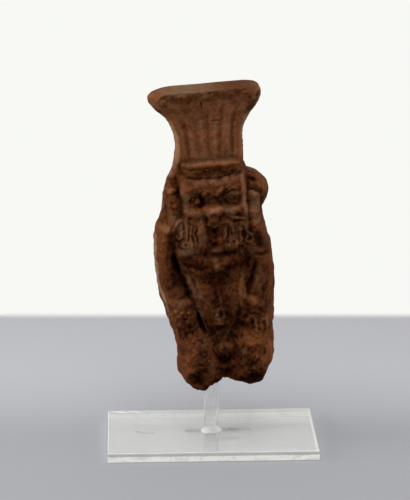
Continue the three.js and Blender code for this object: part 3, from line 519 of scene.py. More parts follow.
def front(u, w):
    """How far the front stands out: the masses, their carving and the wear."""
    masses = along(THICKNESS, 1, w)
    for mass, blend in ((head_sides, 1.6), (face_slab, 1.4), (trunk, 1.4), (arms, 1.6), (legs, 2),
                        (beard_mass, 2.4)):
        masses = soft_max(masses, mass(u, w), blend)
    relief = Field(*wander(u, w))
    for part in (crown, headband, nose, beard):
        part(relief)
    for carving in (CROWN, HEADBAND, BROWS, EYES, CHEEKS, NOSE, MOUTH, BEARD, EARS, ARM_CARVING, HANDS,
                    TRUNK_CARVING, LEG_CARVING):
        relief.work(**carving)
    return masses + relief.h + wear(u, w)


# Places where the clay is rough: u, w, wide, high
ROUGH = [
    (-0.6, 38.6, 9, 4.6), (-0.4, 31, 5.6, 9), (-12.9, 25.4, 4.6, 4.6), (-9.4, 7, 5, 4.6), (9, 7.6, 6, 6),
    (12.6, 25, 4, 4), (6, 47.4, 6, 2.2), (-1, 67, 8, 2.6), (13.6, 68, 3.6, 3.4), (-12.8, 66, 2.6, 4.4)]


def wear(u, w):
    """Unevenness of worn clay, more on the body than on the crown."""
    face = dome((w - 62) / 14) * (np.abs(u) < 12)
    body = 0.4 + 0.45 * ramp(92.5, 96, w) + 0.6 * ramp(79, 71, w) - 0.25 * face
    lumps = lumpy(u, w, (0.34, 3.1, 11), (0.26, 1.6, 12), (0.18, 0.9, 13), (0.1, 0.5, 14))
    rough = np.clip(sum(dome(np.hypot((u - a) / wide, (w - b) / high)) for a, b, wide, high in ROUGH), 0, 1)
    low = ramp(32, 22, w)
    grit = lumpy(u, w, (0.32, 1.3, 21), (0.28, 0.75, 22))
    return body * lumps + (rough + low) * grit + 0.4 * low * noise(u, w, 2.4, 23)


def lift(u, level):
    """How far the break raises a ring."""
    ragged = lumpy(u, 0 * u, (0.45, 1.7, 31), (0.38, 0.8, 32), (0.2, 0.45, 33))
    rise = along(BREAK, 1, u) * np.clip(1 - level / 15, 0, 1) ** 1.5
    return rise + ragged * np.clip(1 - level / 5, 0, 1) ** 1.5


# The figure's mesh: rings of columns, over the front from left to right and back over the back

RING_COUNT = 372
EDGE_COLUMNS, MIDDLE_COLUMNS = 34, 108
BACK_EDGE_COLUMNS, BACK_MIDDLE_COLUMNS = 16, 32
FRONT_COLUMNS = 2 * EDGE_COLUMNS + MIDDLE_COLUMNS + 1
UNDERSIDE_RINGS, TOP_RINGS = 22, 9


def spread(left, right, edge, power, edge_columns, middle_columns):
    """Places across a ring, close together where its edge turns; and how far up its rounded edge each is."""
    quarter = np.linspace(0, math.pi / 2, edge_columns, endpoint=False)
    part = 1 - np.cos(quarter)[None, :] ** (2 / power)
    rise = np.sin(quarter)[None, :] ** (2 / power)
    middle = left + edge + (right - left - 2 * edge) * np.linspace(0, 1, middle_columns + 1)[None, :]
    u = np.hstack([left + edge * part, middle, (right - edge * part)[:, ::-1]])
    return u, np.hstack([rise, np.ones_like(middle), rise[:, ::-1]])


def figure_rings():
    """Places across and up, and how far out, of every ring's columns."""
    level = np.linspace(0, FIGURE_HEIGHT, RING_COUNT)[:, None]
    left = along(OUTLINE, 1, level) + lumpy(0 * level, level, (0.2, 1.9, 44), (0.12, 0.8, 45))
    right = along(OUTLINE, 2, level) + lumpy(0 * level + 9, level, (0.2, 1.9, 46), (0.12, 0.8, 47))
    edge = along(THICKNESS, 3, level)
    power = 2 - 0.75 * ramp(72, 78, level)
    u, rise = spread(left, right, edge, power, EDGE_COLUMNS, MIDDLE_COLUMNS)
    w = level + lift(u, level)
    near = front(u, w) * rise
    ub, rise = spread(left, right, edge + 1.5, 2 + 0 * power, BACK_EDGE_COLUMNS, BACK_MIDDLE_COLUMNS)
    ub, rise = ub[:, -2:0:-1], rise[:, -2:0:-1]
    wb = level + lift(ub, level)
    uneven = lumpy(ub, wb, (0.22, 7, 41), (0.05, 0.9, 43)) + 0.12 * noise(ub * 0.5, wb, 2.2, 42)
    far = (along(THICKNESS, 2, level) + uneven) * rise
    return np.hstack([u, ub]), np.hstack([w, wb]), np.hstack([near, -far])


def placed(u, w, d):
    """Own frame to the room: x, y, z."""
    return np.stack([FIGURE_SHIFT + u * math.cos(LEAN) - w * math.sin(LEAN), -d,
                     FOOT_LEVEL + u * math.sin(LEAN) + w * math.cos(LEAN)], -1)


def own_place(points):
    """The u and w of points of the room."""
    x, z = points[..., 0] - FIGURE_SHIFT, points[..., 2] - FOOT_LEVEL
    return x * math.cos(LEAN) + z * math.sin(LEAN), z * math.cos(LEAN) - x * math.sin(LEAN)


def at_height(flat, z):
    """Places on the flat, as points at a height."""
    return np.column_stack([flat, np.full(len(flat), z)])


def underside(ring):
    """Rings from the break's edge to the mouth of the bore, up the bore, and to its closed end."""
    angle = np.arctan2(ring[:, 1], ring[:, 0])
    bore = np.stack([np.cos(angle), np.sin(angle)], -1) * BORE_RADIUS
    mouth_level = FOOT_LEVEL + 2.4
    rings = []
    for s in np.arange(1, UNDERSIDE_RINGS + 1) / UNDERSIDE_RINGS:
        flat = ring[:, :2] * (1 - s) + bore * s
        fade = 4 * s * (1 - s)
        rough = 0.5 + lumpy(*flat.T, (0.7, 3, 51), (0.35, 1.1, 52))
        rings.append(at_height(flat, ring[:, 2] * (1 - s) + mouth_level * s + fade * rough))
    return rings + [at_height(bore * r, BORE_TOP) for r in (1, 0.6, 0.2)]


def top(ring):
    """Rings from the lip to the middle of the crown's top."""
    middle = ring.mean(0)
    rings = []
    for s in np.arange(1, TOP_RINGS + 1) / TOP_RINGS:
        inward = 0.94 * s
        at = ring * (1 - inward) + middle * inward
        uneven = lumpy(at[:, 0], at[:, 1], (0.16, 2.4, 61), (0.12, 1.1, 62))
        at[:, 2] += uneven * min(1, 3 * s) - 0.35 * s * (2 - s)
        rings.append(at)
    return rings


def blur(grid, reach):
    """Three box blurs, round the ring and along the rings."""
    width = 2 * reach + 1
    for _ in range(3):
        for axis, mode in ((1, "wrap"), (0, "edge")):
            pad = [(0, 0)] * grid.ndim
            pad[axis] = (reach + 1, reach)
            total = np.cumsum(np.pad(grid, pad, mode=mode), axis=axis)
            size = grid.shape[axis]
            past, before = (np.take(total, range(k, k + size), axis) for k in (width, 0))
            grid = (past - before) / width
    return grid


def hollows(points):
    """How far each point lies under the surface smoothed at a few reaches: hollows above 0, crests below."""
    across = np.roll(points, -1, 1) - np.roll(points, 1, 1)
    up = np.gradient(points, axis=0)
    normal = np.cross(across, up)
    normal /= np.linalg.norm(normal, axis=-1, keepdims=True) + 1e-12
    total = 0
    for reach, share in ((2, 0.9), (5, 1.0), (12, 0.8)):
        total = total + share * ((blur(points, reach) - points) * normal).sum(-1) / (0.25 * reach)
    return total


# Tones of the surface: patches, worked as the carving is and kept between 0 and 1 in all

# Dirt, and painted shade: in the gaps beside the arms and hands, under the headband, the beard's hem and the
# chest, under the crown's lip at its ends, between the legs and low on the legs
DIRT_AND_SHADE = dict(
    strokes=[
        (1.3, 1, (-14, 46.4), (-13.7, 43.4), (-12.9, 40.6)),
        (1.7, 0.7, (-12.9, 40.6), (-12, 38), (-10.9, 34.8), (-9.8, 32.4)),
        (1.2, 1, (-8, 27), (-7.4, 24.4), (-6.4, 20.4)), (1, 0.7, (10.7, 44), (8.6, 38.6), (8.8, 32.2)),
        (1, 0.4, (12.4, 43), (10.6, 38), (9.9, 33)), (1.1, 0.4, (-10.9, 69.2), (-11, 67.4), (-11.3, 65.4)),
        (0.9, 0.7, (-4, 66.8), (-3.5, 64.9), (-3.8, 63.5), (-5, 62.9)),
        (0.5, 0.5, (-7.4, 63.8), (-7.3, 65.3), (-6.4, 66.2)),
        (1.7, 0.5, (-7.4, 73.2), (0, 73.3), (8.4, 73.5)),
        (1.4, 0.6, (15.4, 35.4), (14.2, 33.6), (13.2, 31.6)),
        (1.7, 0.8, (-14.4, 3.6), (-10.8, 0.9), (-7.6, 0.9), (-4.4, 3.2)),
        (1.6, 0.8, (2.2, 4.8), (5.6, 2.2), (9, 1.2), (12.6, 3)), (1, 0.5, (16.4, 12), (15.8, 6), (14, 3)),
        (0.9, 0.5, (17.6, 41), (17.7, 35), (17, 30)), (0.6, 0.5, (13, 45), (15, 44.6), (17, 45)),
        (0.7, 0.4, (-19.2, 41), (-18.9, 36), (-17, 31.6)), (1.2, 0.2, (-10.5, 97.4), (-7, 97.8), (-1, 97.8)),
        (1.2, 0.5, (-16, 22.6), (-12, 22), (-9, 23)), (0.9, 0.15, (3.8, 65), (4, 63.6), (5, 62.9)),
        (1.5, 0.6, (2, 47.4), (4.2, 46.8), (6.4, 46.4), (8.6, 45.6)),
        (1.2, 0.4, (-11, 43.8), (-8.6, 42.8), (-5.6, 42.6), (-3, 43.3)),
        (1.2, 0.4, (1.4, 43.4), (3.4, 42.6), (6.4, 42.2), (9, 43.2)),
        (0.8, 0.6, (-2.6, 56.8), (-2.5, 53.6), (-2, 50.6)),
        (2, 0.45, (-15.2, 51), (-15.1, 45), (-13.9, 39), (-12.6, 34.6)), (0.6, 0.4, (-3.9, 50), (-4, 45.8)),
        (0.6, 0.4, (2.5, 50), (2.5, 46)), (1.5, 0.75, (-16.4, 94.8), (-14.2, 93.4), (-12.6, 92)),
        (2.4, 1, (12.6, 91.8), (14.6, 93.6), (16.6, 95.8)), (0.6, 0.45, (8.9, 55.4), (8.9, 51.8)),
        (0.9, 0.4, (5.4, 57.6), (7.8, 57.4)), (1.8, 0.75, (12.5, 53.6), (13.2, 51), (13.9, 47.8))],
    mounds=[
        (-7, 44.4, 5.2, 2.3, 1), (6.2, 44, 5.2, 2.4, 1), (-0.4, 39.4, 9.6, 4.6, 1.1),
        (-0.9, 33.8, 6.4, 6.8, 0.8), (1.6, 27.4, 5.4, 6.4, 0.85), (-3.9, 26.8, 2.4, 5.6, 0.6),
        (-0.9, 22.7, 3.8, 1.7, 1.1), (-0.5, 11.6, 3.6, 3, 0.4), (3.8, 19.8, 2.6, 2.4, 0.35),
        (-9.4, 5.6, 4.8, 3.8, 0.95), (9.4, 4.2, 6.6, 4.2, 0.95), (8.8, 11, 4.2, 4.2, 0.3),
        (-8.8, 10.6, 4.6, 3.6, 0.4), (-0.2, 6.4, 5, 4, 0.5), (-6.6, 16.6, 4.6, 5.6, 0.5),
        (-13.3, 20.2, 1.8, 3.2, 0.5), (13.3, 27, 3.8, 2.8, 1.2), (13, 22.2, 3.6, 2, 0.2),
        (9.3, 22.6, 1.3, 1.3, 0.5), (12.9, 19, 1.8, 1.6, 0.3), (13.9, 49.4, 2.6, 4.4, 0.6),
        (15.6, 46.5, 3.4, 5, 0.5), (15.4, 39, 2.6, 5, 0.7), (-0.4, 59, 3, 2.7, 0.5),
        (-2.3, 59.3, 0.8, 1.8, 0.9), (1.5, 59.4, 0.7, 1.7, 0.9), (-0.4, 15.4, 3, 2.2, 0.25),
        (-5.4, 67.1, 1.4, 1.2, 0.15), (-0.7, 67.2, 1.2, 1.9, 0.2), (3.2, 66, 0.9, 1.2, 0.35),
        (6.3, 65.5, 3.4, 3.4, 0.3), (-5.4, 65.6, 3.4, 3.6, 0.35), (-5.8, 67.6, 2.6, 1.6, 0.15),
        (1.1, 58.8, 0.7, 1.5, 0.5), (-7.8, 59.7, 1.1, 1, 0.4), (7.3, 59.8, 1.5, 0.9, 0.3),
        (7, 57.5, 2, 0.8, 0.3), (-0.6, 55.3, 2.9, 1.7, 0.5), (-0.7, 53.6, 2, 1.7, 0.2),
        (-0.5, 50.6, 1.9, 1.2, 0.9), (-13, 65.6, 2.6, 2.2, 0.45), (-13.4, 62.7, 2.2, 1.4, 0.4),
        (-13, 70.8, 1.8, 2, 0.3), (13.3, 70.2, 1.6, 1.1, 0.6), (17, 96.6, 1.4, 1.6, 0.8),
        (5.2, 50.9, 0.8, 0.7, 0.7), (10.6, 50.7, 1, 0.8, 0.8), (8.4, 48.7, 0.8, 0.6, 0.6),
        (7.2, 51.2, 0.5, 1.4, 0.4), (-7.3, 53, 0.5, 1, 0.5), (-6.2, 55.4, 0.5, 1.2, 0.4),
        (-8.2, 58, 0.8, 0.7, 0.5), (-12, 52, 1.2, 0.5, 0.5), (-5.7, 47.6, 1, 1.2, 0.4),
        (-10, 50.3, 1.1, 0.5, 0.4), (6.5, 54.6, 0.8, 3, 0.25), (11.2, 88, 1.3, 5, 0.2),
        (-16.6, 37, 3, 5, 0.3), (-13.8, 16, 2.6, 4.6, 0.5), (10, 4, 6.2, 3.2, 0.35),
        (-17.2, 44, 2.4, 7, 0.4), (11, 99.8, 6, 1.6, 0.2), (-12.6, 70.6, 1.8, 1.8, 0.4),
        (-11.6, 67, 1.3, 2, 0.3), (-17.6, 96.4, 1.2, 1.4, 0.3), (-15.2, 97.6, 3.4, 2.2, 0.3),
        (15, 97.8, 2.6, 2.2, 0.5), (-3.6, 24.4, 1.7, 2.6, 0.5), (2.9, 24.2, 2, 2.6, 0.5),
        (-6, 33, 1.6, 4.6, -0.3), (-14.2, 25.4, 3.6, 2.8, 0.45), (-12.6, 20, 1, 2.6, 0.3),
        (-9, 5.2, 3.4, 2.4, 0.2), (4.6, 11.4, 1.4, 3.2, 0.3), (13.6, 30.6, 1.8, 1.2, 0.4),
        (-4.6, 41, 6.6, 3.4, 0.4), (-5.6, 8, 1.6, 3.4, 0.3), (-15.2, 39, 2.4, 5.4, 0.5),
        (-17.2, 36.6, 1.8, 4.6, 0.4), (6.2, 22.4, 1.6, 1.6, 0.6), (-5.2, 20.6, 1.6, 1.4, 0.4),
        (13.6, 9, 1.8, 3.6, 0.3), (-12.4, 26.4, 5.2, 3.4, 0.25), (-2.4, 3.6, 3, 2, 0.5)],
    rings=[(8.2, 12, 2.3, 2.9, 0.9, 0.45)])
# Dust, and painted highlights on parts that face up or to the sides: the headband's top, the forehead, the
# face's side edges, the crown's side strips and top, the nose top, the cheek tops, the beard's ridges and the
# trunk's flanks
DUST_AND_HIGHLIGHT = dict(
    strokes=[
        (0.9, 0.2, (-5, 78), (-5.4, 84), (-6, 90)), (0.9, 0.2, (-1.6, 78), (-1.8, 84), (-2, 91)),
        (1.1, 0.35, (2, 78), (2.2, 84), (2.8, 89)), (0.9, 0.15, (5.8, 78), (6.2, 84), (7.4, 91)),
        (1.3, 0.4, (-13.4, 72.4), (-12.2, 76.4)),
        (1.5, 0.8, (-13.2, 72.4), (-11.9, 76), (-10.6, 79), (-10.3, 85), (-11.6, 90)),
        (0.9, 0.6, (10.9, 83.5), (11.3, 88), (12.4, 91)), (1, 0.6, (-7, 77.4), (0, 77.4), (9, 77.3)),
        (0.6, 0.6, (-7.6, 76.3), (0, 76.5), (9.2, 76.3)), (2, 0.45, (-8.6, 70.9), (0, 71.1), (9.6, 70.9)),
        (1.5, 0.4, (-9.7, 72), (-9.3, 66), (-9.7, 58.6)), (1.2, 1.1, (9.9, 72.6), (9.9, 67), (10.3, 59)),
        (1.8, 0.45, (-8.4, 62.2), (-5, 61.2), (-2.5, 61)), (1.8, 0.9, (2.5, 61.2), (5.5, 60.9), (8.6, 62)),
        (1.6, 0.45, (-4.8, 60), (-4.7, 55), (-4.3, 50)), (1.3, 0.5, (-0.8, 46.4), (-0.5, 41.6)),
        (0.8, 0.15, (-9.6, 42), (-6, 41.7), (-2, 42.3)),
        (1.4, 0.75, (-10.7, 41.6), (-8.9, 36), (-7.5, 31), (-6.2, 26)),
        (2, 0.25, (7.8, 38.6), (6.9, 35), (7, 31.4), (6.6, 28)), (0.6, 0.7, (-0.4, 35.8), (-0.2, 30.4)),
        (1.1, 0.5, (-4.4, 12.2), (-4.6, 5.6)), (0.8, 0.5, (13.6, 14), (13.2, 8)),
        (1.6, 0.7, (-15.4, 100.4), (-6, 100.4), (3.4, 100.4)),
        (0.8, 0.35, (8.4, 46.6), (9.8, 45), (12, 43.6)),
        (0.8, 0.3, (10.4, 44.4), (11.8, 45.8), (13.6, 46.6)),
        (0.8, 0.8, (1.1, 66.1), (2, 67.4), (3.3, 68.9)), (0.6, 0.6, (4.6, 59.3), (7, 58.6), (9.6, 58.3)),
        (0.4, 0.8, (-1.4, 56.8), (1, 56.8)), *[(0.6, 0.45, *line) for line in LOCK_RIDGES],
        (0.45, 0.4, (4.4, 67.2), (6, 68.7), (8.2, 68)), (0.4, 0.35, (5.2, 66.4), (6.6, 67.4), (8.2, 66.6)),
        (0.45, 0.4, (-3.4, 69.3), (-2.5, 67.8), (-2, 66.4))],
    mounds=[
        (-0.3, 71, 1.2, 0.9, 0.5), (0.2, 62.2, 4, 1.2, 0.8), (-6.6, 68.2, 2, 1.1, 0.5),
        (-8.6, 66.8, 1.2, 2.6, 0.3), (6.4, 53.4, 4.6, 4.2, 0.25), (-9.6, 51, 3.4, 2.2, 0.7),
        (-10.4, 55, 3.6, 3.4, 0.4), (-0.3, 48.3, 2.9, 1.3, 0.5), (8, 50.4, 5, 1.4, 0.35),
        (6.9, 66.4, 1.5, 1.2, 0.4), (-5.6, 64.8, 1, 0.9, 0.3), (13.4, 66.4, 2.6, 2.2, 0.9),
        (-8, 17, 4, 3, 0.25), (12.6, 60.6, 3, 4.2, 0.9), (-12.6, 58.8, 3.6, 3.4, 0.7),
        (-9.5, 48.4, 5, 2.8, 1), (12.2, 36, 1.3, 3.4, 0.6), (-12.4, 31, 4.2, 1.8, 0.7),
        (9.9, 30.2, 2.8, 1.8, 0.8), (-0.8, 24.2, 1.5, 1.3, 0.8), (-1.4, 18.7, 3.6, 1.5, 0.35),
        (-6.8, 17.2, 3.6, 4.4, 0.25), (0, 20.4, 4.6, 1.3, 0.45), (0, 15.9, 2.6, 1.1, 0.4),
        (-16.2, 56.2, 3.4, 1.6, 0.4), (-8.4, 12.8, 2, 1.6, 0.2), (12.6, 56.2, 3.4, 1.7, 0.5),
        (-13.3, 68.3, 2.4, 1.2, 0.9), (13.4, 63, 1.8, 1.2, 0.5), (13.4, 72.4, 3.4, 1.1, 0.4),
        (6.4, 13.2, 1.2, 2, 0.4), (10, 12.4, 0.9, 1.8, 0.4), (-6.6, 34, 1.4, 3.2, 0.5),
        *[(u, w + 0.25, 0.5, 0.4, 0.7 if u < 0 else 0.3) for u, w in KNUCKLES]],
    rings=[(-0.7, 27.2, 1.2, 1.9, 0.6, 0.5)])
RUST = dict(
    strokes=[
        *[(0.9, 0.4 * deep, *line) for deep, line in FLUTES], (0.9, 0.6, (9.2, 79), (9.6, 86), (10.4, 90.6)),
        (0.9, 0.5, (-8.6, 79), (-8.9, 86), (-10.8, 91.6)), (1, 0.8, (17.2, 44), (17.4, 39), (16.9, 33)),
        (0.8, 0.6, (12.6, 44.6), (14.8, 43), (17, 42.4)), (1.6, 0.9, (-8.4, 74.2), (0, 74.5), (9, 74.3)),
        (1.8, 0.6, (-17.6, 55), (-17.8, 48), (-17.4, 42)), (1.8, 0.9, (5, 100.2), (11, 99.6), (16.4, 98.4)),
        (1.3, 0.4, (-11, 97.6), (-5, 97.9), (-1, 97.4)), (1.6, 0.7, (-18, 96.6), (-14, 98.6), (-10, 99.2))],
    mounds=[
        (1.6, 52.2, 1.2, 1.8, 1), (13, 54.6, 3.2, 2.2, 0.9), (16.7, 66.6, 1.6, 2.8, 0.8),
        (-16.4, 98, 2.8, 2, 0.6), (-0.7, 58.9, 2.3, 1.7, 1), (7, 63.6, 2, 0.9, 0.6),
        (2.7, 59, 0.8, 0.9, 0.7), (13.4, 66.6, 3, 2.4, 0.15), (-12.7, 71, 1.8, 1.8, 0.7),
        (-13, 65.6, 2.4, 2.8, 0.5), (-17, 38, 3.2, 6, 0.5), (14.8, 43.6, 3.2, 3.6, 0.7),
        (15.8, 37, 1.8, 5, 0.5), (6, 44.2, 5.2, 2.2, 1), (-7.2, 44.6, 4.8, 2, 0.9),
        (-13.2, 26.2, 4.8, 3.8, 0.9), (12.8, 25.6, 4, 3.4, 0.9), (-1, 37.4, 7, 6, 0.7), (1, 29, 4.6, 5, 0.5),
        (-14.6, 25, 3, 3.4, 0.6), (-2, 42.4, 3, 0.8, 0.3), (-6.6, 42.4, 4.4, 1, 0.6), (-12, 11, 4.2, 6, 0.7),
        (-13.8, 6, 1.9, 3.6, 0.8), (10, 13, 7, 7, 0.8), (12, 6, 4, 4, 0.6), (-7.8, 59.7, 1.3, 1.1, 0.6),
        (7.2, 59.8, 1.8, 1.2, 0.6), (4, 7, 3.4, 3.4, 0.5), (-3.6, 26, 2, 5, 0.6), (6.4, 64, 1.8, 0.8, 0.5),
        (-6, 6, 3, 4, 0.4), (-0.6, 51.2, 1.6, 1.6, 0.8), (-0.6, 55.2, 2.4, 1.4, 0.7), (9, 17.4, 6, 3, 0.5),
        (-14, 17, 2.4, 4, 0.5), (-17, 52, 2.4, 4, 0.6), (-17.4, 45, 2.2, 5, 0.4), (15.2, 51, 2, 3, 0.4),
        (0.4, 24, 4.4, 3.4, 0.6), (15.4, 11, 1.4, 5, 0.7), (-9, 3.4, 3.4, 2, 0.6), (6.4, 3.6, 2.4, 1.6, 0.5),
        (-17, 97, 2, 2, 0.8), (14.6, 98.4, 2.6, 2, 0.7), (11, 99.9, 6, 1.4, 0.8)])
ROSE = dict(
    mounds=[
        (-12.3, 12.4, 1, 2.6, 1), (0.1, 71.1, 1.5, 0.8, 1), (-1, 59, 1, 0.9, 0.3),
        (4.6, 60.8, 2.4, 1.3, 0.5), (2, 70.4, 4, 1, 0.3), (-12, 47.6, 2.6, 1.8, 0.5),
        (-13.8, 33.6, 2.2, 2, 0.5), (13, 27.4, 1.8, 0.9, 0.6), (14.4, 38, 2.4, 3.6, 0.35),
        (-7.2, 36.6, 1.2, 1.8, 0.5), (2.2, 93.6, 4.5, 3.4, 0.35), (-4, 88, 4, 8, 0.3),
        (6.5, 86, 2.5, 7, 0.25), (10, 12.6, 0.7, 1.6, 0.6), (-15.6, 12.4, 0.8, 2.6, 0.7),
        (-17.6, 46.2, 1.2, 1.8, 0.5), (13.4, 60, 1.6, 2, 0.4), (11.6, 36.4, 1.2, 2, 0.4),
        (14, 45.9, 1.3, 1.1, 0.5)])
RUBBED = dict(
    strokes=[
        (1.9, 1.4, (8.4, 39.6), (7.2, 35), (7.3, 31), (6.9, 27.2)),
        (1.4, 0.6, (-18.4, 36), (-17, 31.8), (-15.4, 28.8)), (1.2, 0.6, (14.8, 16), (15.2, 11), (14.4, 7)),
        (1, 0.4, (-14.8, 20), (-15.2, 15)), (0.6, 1.1, (10.7, 24.6), (10.3, 19.8)),
        (0.6, 1.1, (12.3, 24.4), (12.2, 19.4)), (0.6, 1.1, (14, 24.4), (14.3, 19.6)),
        (0.5, 0.5, (-13, 22.8), (-12.6, 18.8)), (0.5, 0.5, (-15, 22.4), (-14.8, 19)),
        (0.9, 0.4, (-6.2, 13.4), (-5.6, 8.8)), (0.7, 0.7, (9.8, 25.2), (8.4, 23.8), (7.2, 22.8)),
        (0.8, 0.5, (12.6, 37.6), (11.4, 34.6), (10.4, 32.4))],
    mounds=[
        (8.6, 18.2, 5, 2.8, 0.5), (-12.2, 30.9, 3.6, 1.7, 0.5), (9.8, 29.8, 2.6, 1.9, 1),
        (-9, 10.9, 2.4, 1.3, 1), (-12.9, 9, 1.2, 2.2, 0.3), (12.9, 28.4, 1.2, 0.6, 0.4),
        (-9.4, 23.4, 1.6, 2.2, 0.4), (-15.8, 55.8, 2.8, 1.4, 0.5), (13, 55.8, 2.6, 1.3, 0.7),
        (-0.8, 24.2, 1.2, 1.1, 0.7), (4.4, 5.6, 1.6, 2.4, 0.3), (-14, 5.4, 1, 1.6, 0.3),
        (-16.4, 97, 1.2, 1, 0.6), (-14.6, 95, 1.2, 0.7, 0.5), (11.6, 10, 2.2, 2.4, 0.4)])
# Painted rim light along the left edges of the arm, the shoulder and the crown
PAINTED_RIM_LIGHT = dict(
    strokes=[
        (1, 1, (-19.7, 54), (-20.3, 46), (-20, 38), (-18.1, 31)),
        (0.7, 0.5, (-19.2, 35), (-17.8, 30), (-17, 26)), (0.8, 0.5, (-19, 57), (-17.2, 61), (-16, 64)),
        (1.1, 0.9, (-13.6, 72.4), (-12.3, 76.6))])
TONES = {"dirt_and_shade": DIRT_AND_SHADE, "dust_and_highlight": DUST_AND_HIGHLIGHT, "rust": RUST, "rose": ROSE, "rubbed": RUBBED, "painted_rim_light": PAINTED_RIM_LIGHT}


def tone(u, w, patches):
    """A tone from 0 to 1, its patches uneven."""
    field = Field(*wander(u, w))
    field.work(**patches)
    return np.clip(field.h * (1 + lumpy(u, w, (0.3, 1.6, 91), (0.3, 0.7, 92))), 0, 1)


def added(name, data):
    """A new object in the scene."""
    piece = bpy.data.objects.new(name, data)
    bpy.context.scene.collection.objects.link(piece)
    return piece


def closed_piece(name, rings, foot, head):
    """A piece from rings of points that run up or inwards, with a fan of triangles at each end."""
    grid = np.stack(rings)
    rows, columns = grid.shape[:2]
    here = np.arange(rows * columns).reshape(rows, columns)
    beside = np.roll(here, -1, 1)
    faces = np.stack([here[:-1], beside[:-1], beside[1:], here[1:]], -1).reshape(-1, 4).tolist()
    faces += [(rows * columns, b, a) for a, b in zip(here[0], beside[0])]
    faces += [(rows * columns + 1, a, b) for a, b in zip(here[-1], beside[-1])]
    mesh = bpy.data.meshes.new(name)
    mesh.from_pydata(np.vstack([grid.reshape(-1, 3), foot, head]) * MM, [], faces)
    mesh.update()
    return added(name, mesh)


def figure():
    u, w, d = figure_rings()
    body = placed(u, w, d)
    below, above = underside(body[0])[::-1], top(body[-1])
    grid = np.concatenate([below, body, above])
    piece = closed_piece("figure_relief", grid, grid[0].mean(0), grid[-1].mean(0))
    piece.data.shade_smooth()
    first, end = len(below), len(below) + RING_COUNT
    hollow, seen, height, broken = np.zeros((4, *grid.shape[:2]))
    hollow[first:end] = hollows(body)
    seen[first:end, :FRONT_COLUMNS] = ramp(0, 0.35, np.clip(d[:, :FRONT_COLUMNS] / 6, 0, 1))
    seen[end:] = 1
    height[first:end] = w
    height[end:] = FIGURE_HEIGHT
    broken[:first] = 1
    broken[first:end] = 1 - ramp(0, 1.2, np.linspace(0, FIGURE_HEIGHT, RING_COUNT))[:, None]
    u, w = own_place(grid)
    tones = {name: tone(u, w, patches) * seen for name, patches in TONES.items()}
    tones["hollow"] = hollow
    tones["height"] = height / FIGURE_HEIGHT
    tones["crown"] = seen * ramp(75.5, 79, height) + (1 - seen) * (0.2 + 0.5 * ramp(50, 96, height))
    tones["broken"] = broken
    for name, values in tones.items():
        layer = piece.data.attributes.new(name, "FLOAT", "POINT")
        values = np.append(values.ravel(), [values[0, 0], values[-1, 0]])
        layer.data.foreach_set("value", values.astype(np.float32))
    return piece


# Shaders

class Wire:
    """A shader value that can stand in sums."""

    def __init__(self, owner, socket):
        self.owner, self.socket = owner, socket

    def sum(self, operation, *values):
        return self.owner.node("ShaderNodeMath", {"operation": operation}, dict(enumerate(values)))

    def __add__(self, other):
        return self.sum("ADD", self, other)

    __radd__ = __add__

    def __sub__(self, other):
        return self.sum("SUBTRACT", self, other)

    def __rsub__(self, other):
        return self.sum("SUBTRACT", other, self)

    def __mul__(self, other):
        return self.sum("MULTIPLY", self, other)

    __rmul__ = __mul__

    def __truediv__(self, other):
        return self.sum("DIVIDE", self, other)

    def held(self):
        """Kept between 0 and 1."""
        return self.owner.node("ShaderNodeClamp", {}, {0: self})

    def rise(self, low, high):
        """0 below low, 1 above high, smooth between."""
        settings = {"interpolation_type": "SMOOTHSTEP"}
        return self.owner.node("ShaderNodeMapRange", settings, {0: self, 1: low, 2: high})


class Nodes:
    """A tree of shader nodes."""

    def __init__(self, tree):
        self.tree = tree
        tree.nodes.clear()

    def join(self, socket, value):
        if isinstance(value, Wire):
            self.tree.links.new(value.socket, socket)
        else:
            socket.default_value = value

    def add(self, kind, settings, sockets):
        """A node of a type, with its settings and its sockets' values or links."""
        made = self.tree.nodes.new(kind)
        for name, value in settings.items():
            setattr(made, name, value)
        for key, value in sockets.items():
            self.join(made.inputs[key], value)
        return made

    def outputs(self, kind, settings, sockets):
        return [Wire(self, socket) for socket in self.add(kind, settings, sockets).outputs]

    def node(self, kind, settings, sockets, out=0):
        return self.outputs(kind, settings, sockets)[out]

    def split(self, at):
        """The x, y and z of a place."""
        return self.outputs("ShaderNodeSeparateXYZ", {}, {0: at})

    def mix(self, part, a, b, blend="MIX"):
        """Colour a where part is 0, b where it is 1."""
        settings = {"data_type": "RGBA", "blend_type": blend, "clamp_factor": True}
        return self.node("ShaderNodeMix", settings, {0: part, 6: a, 7: b}, 2)


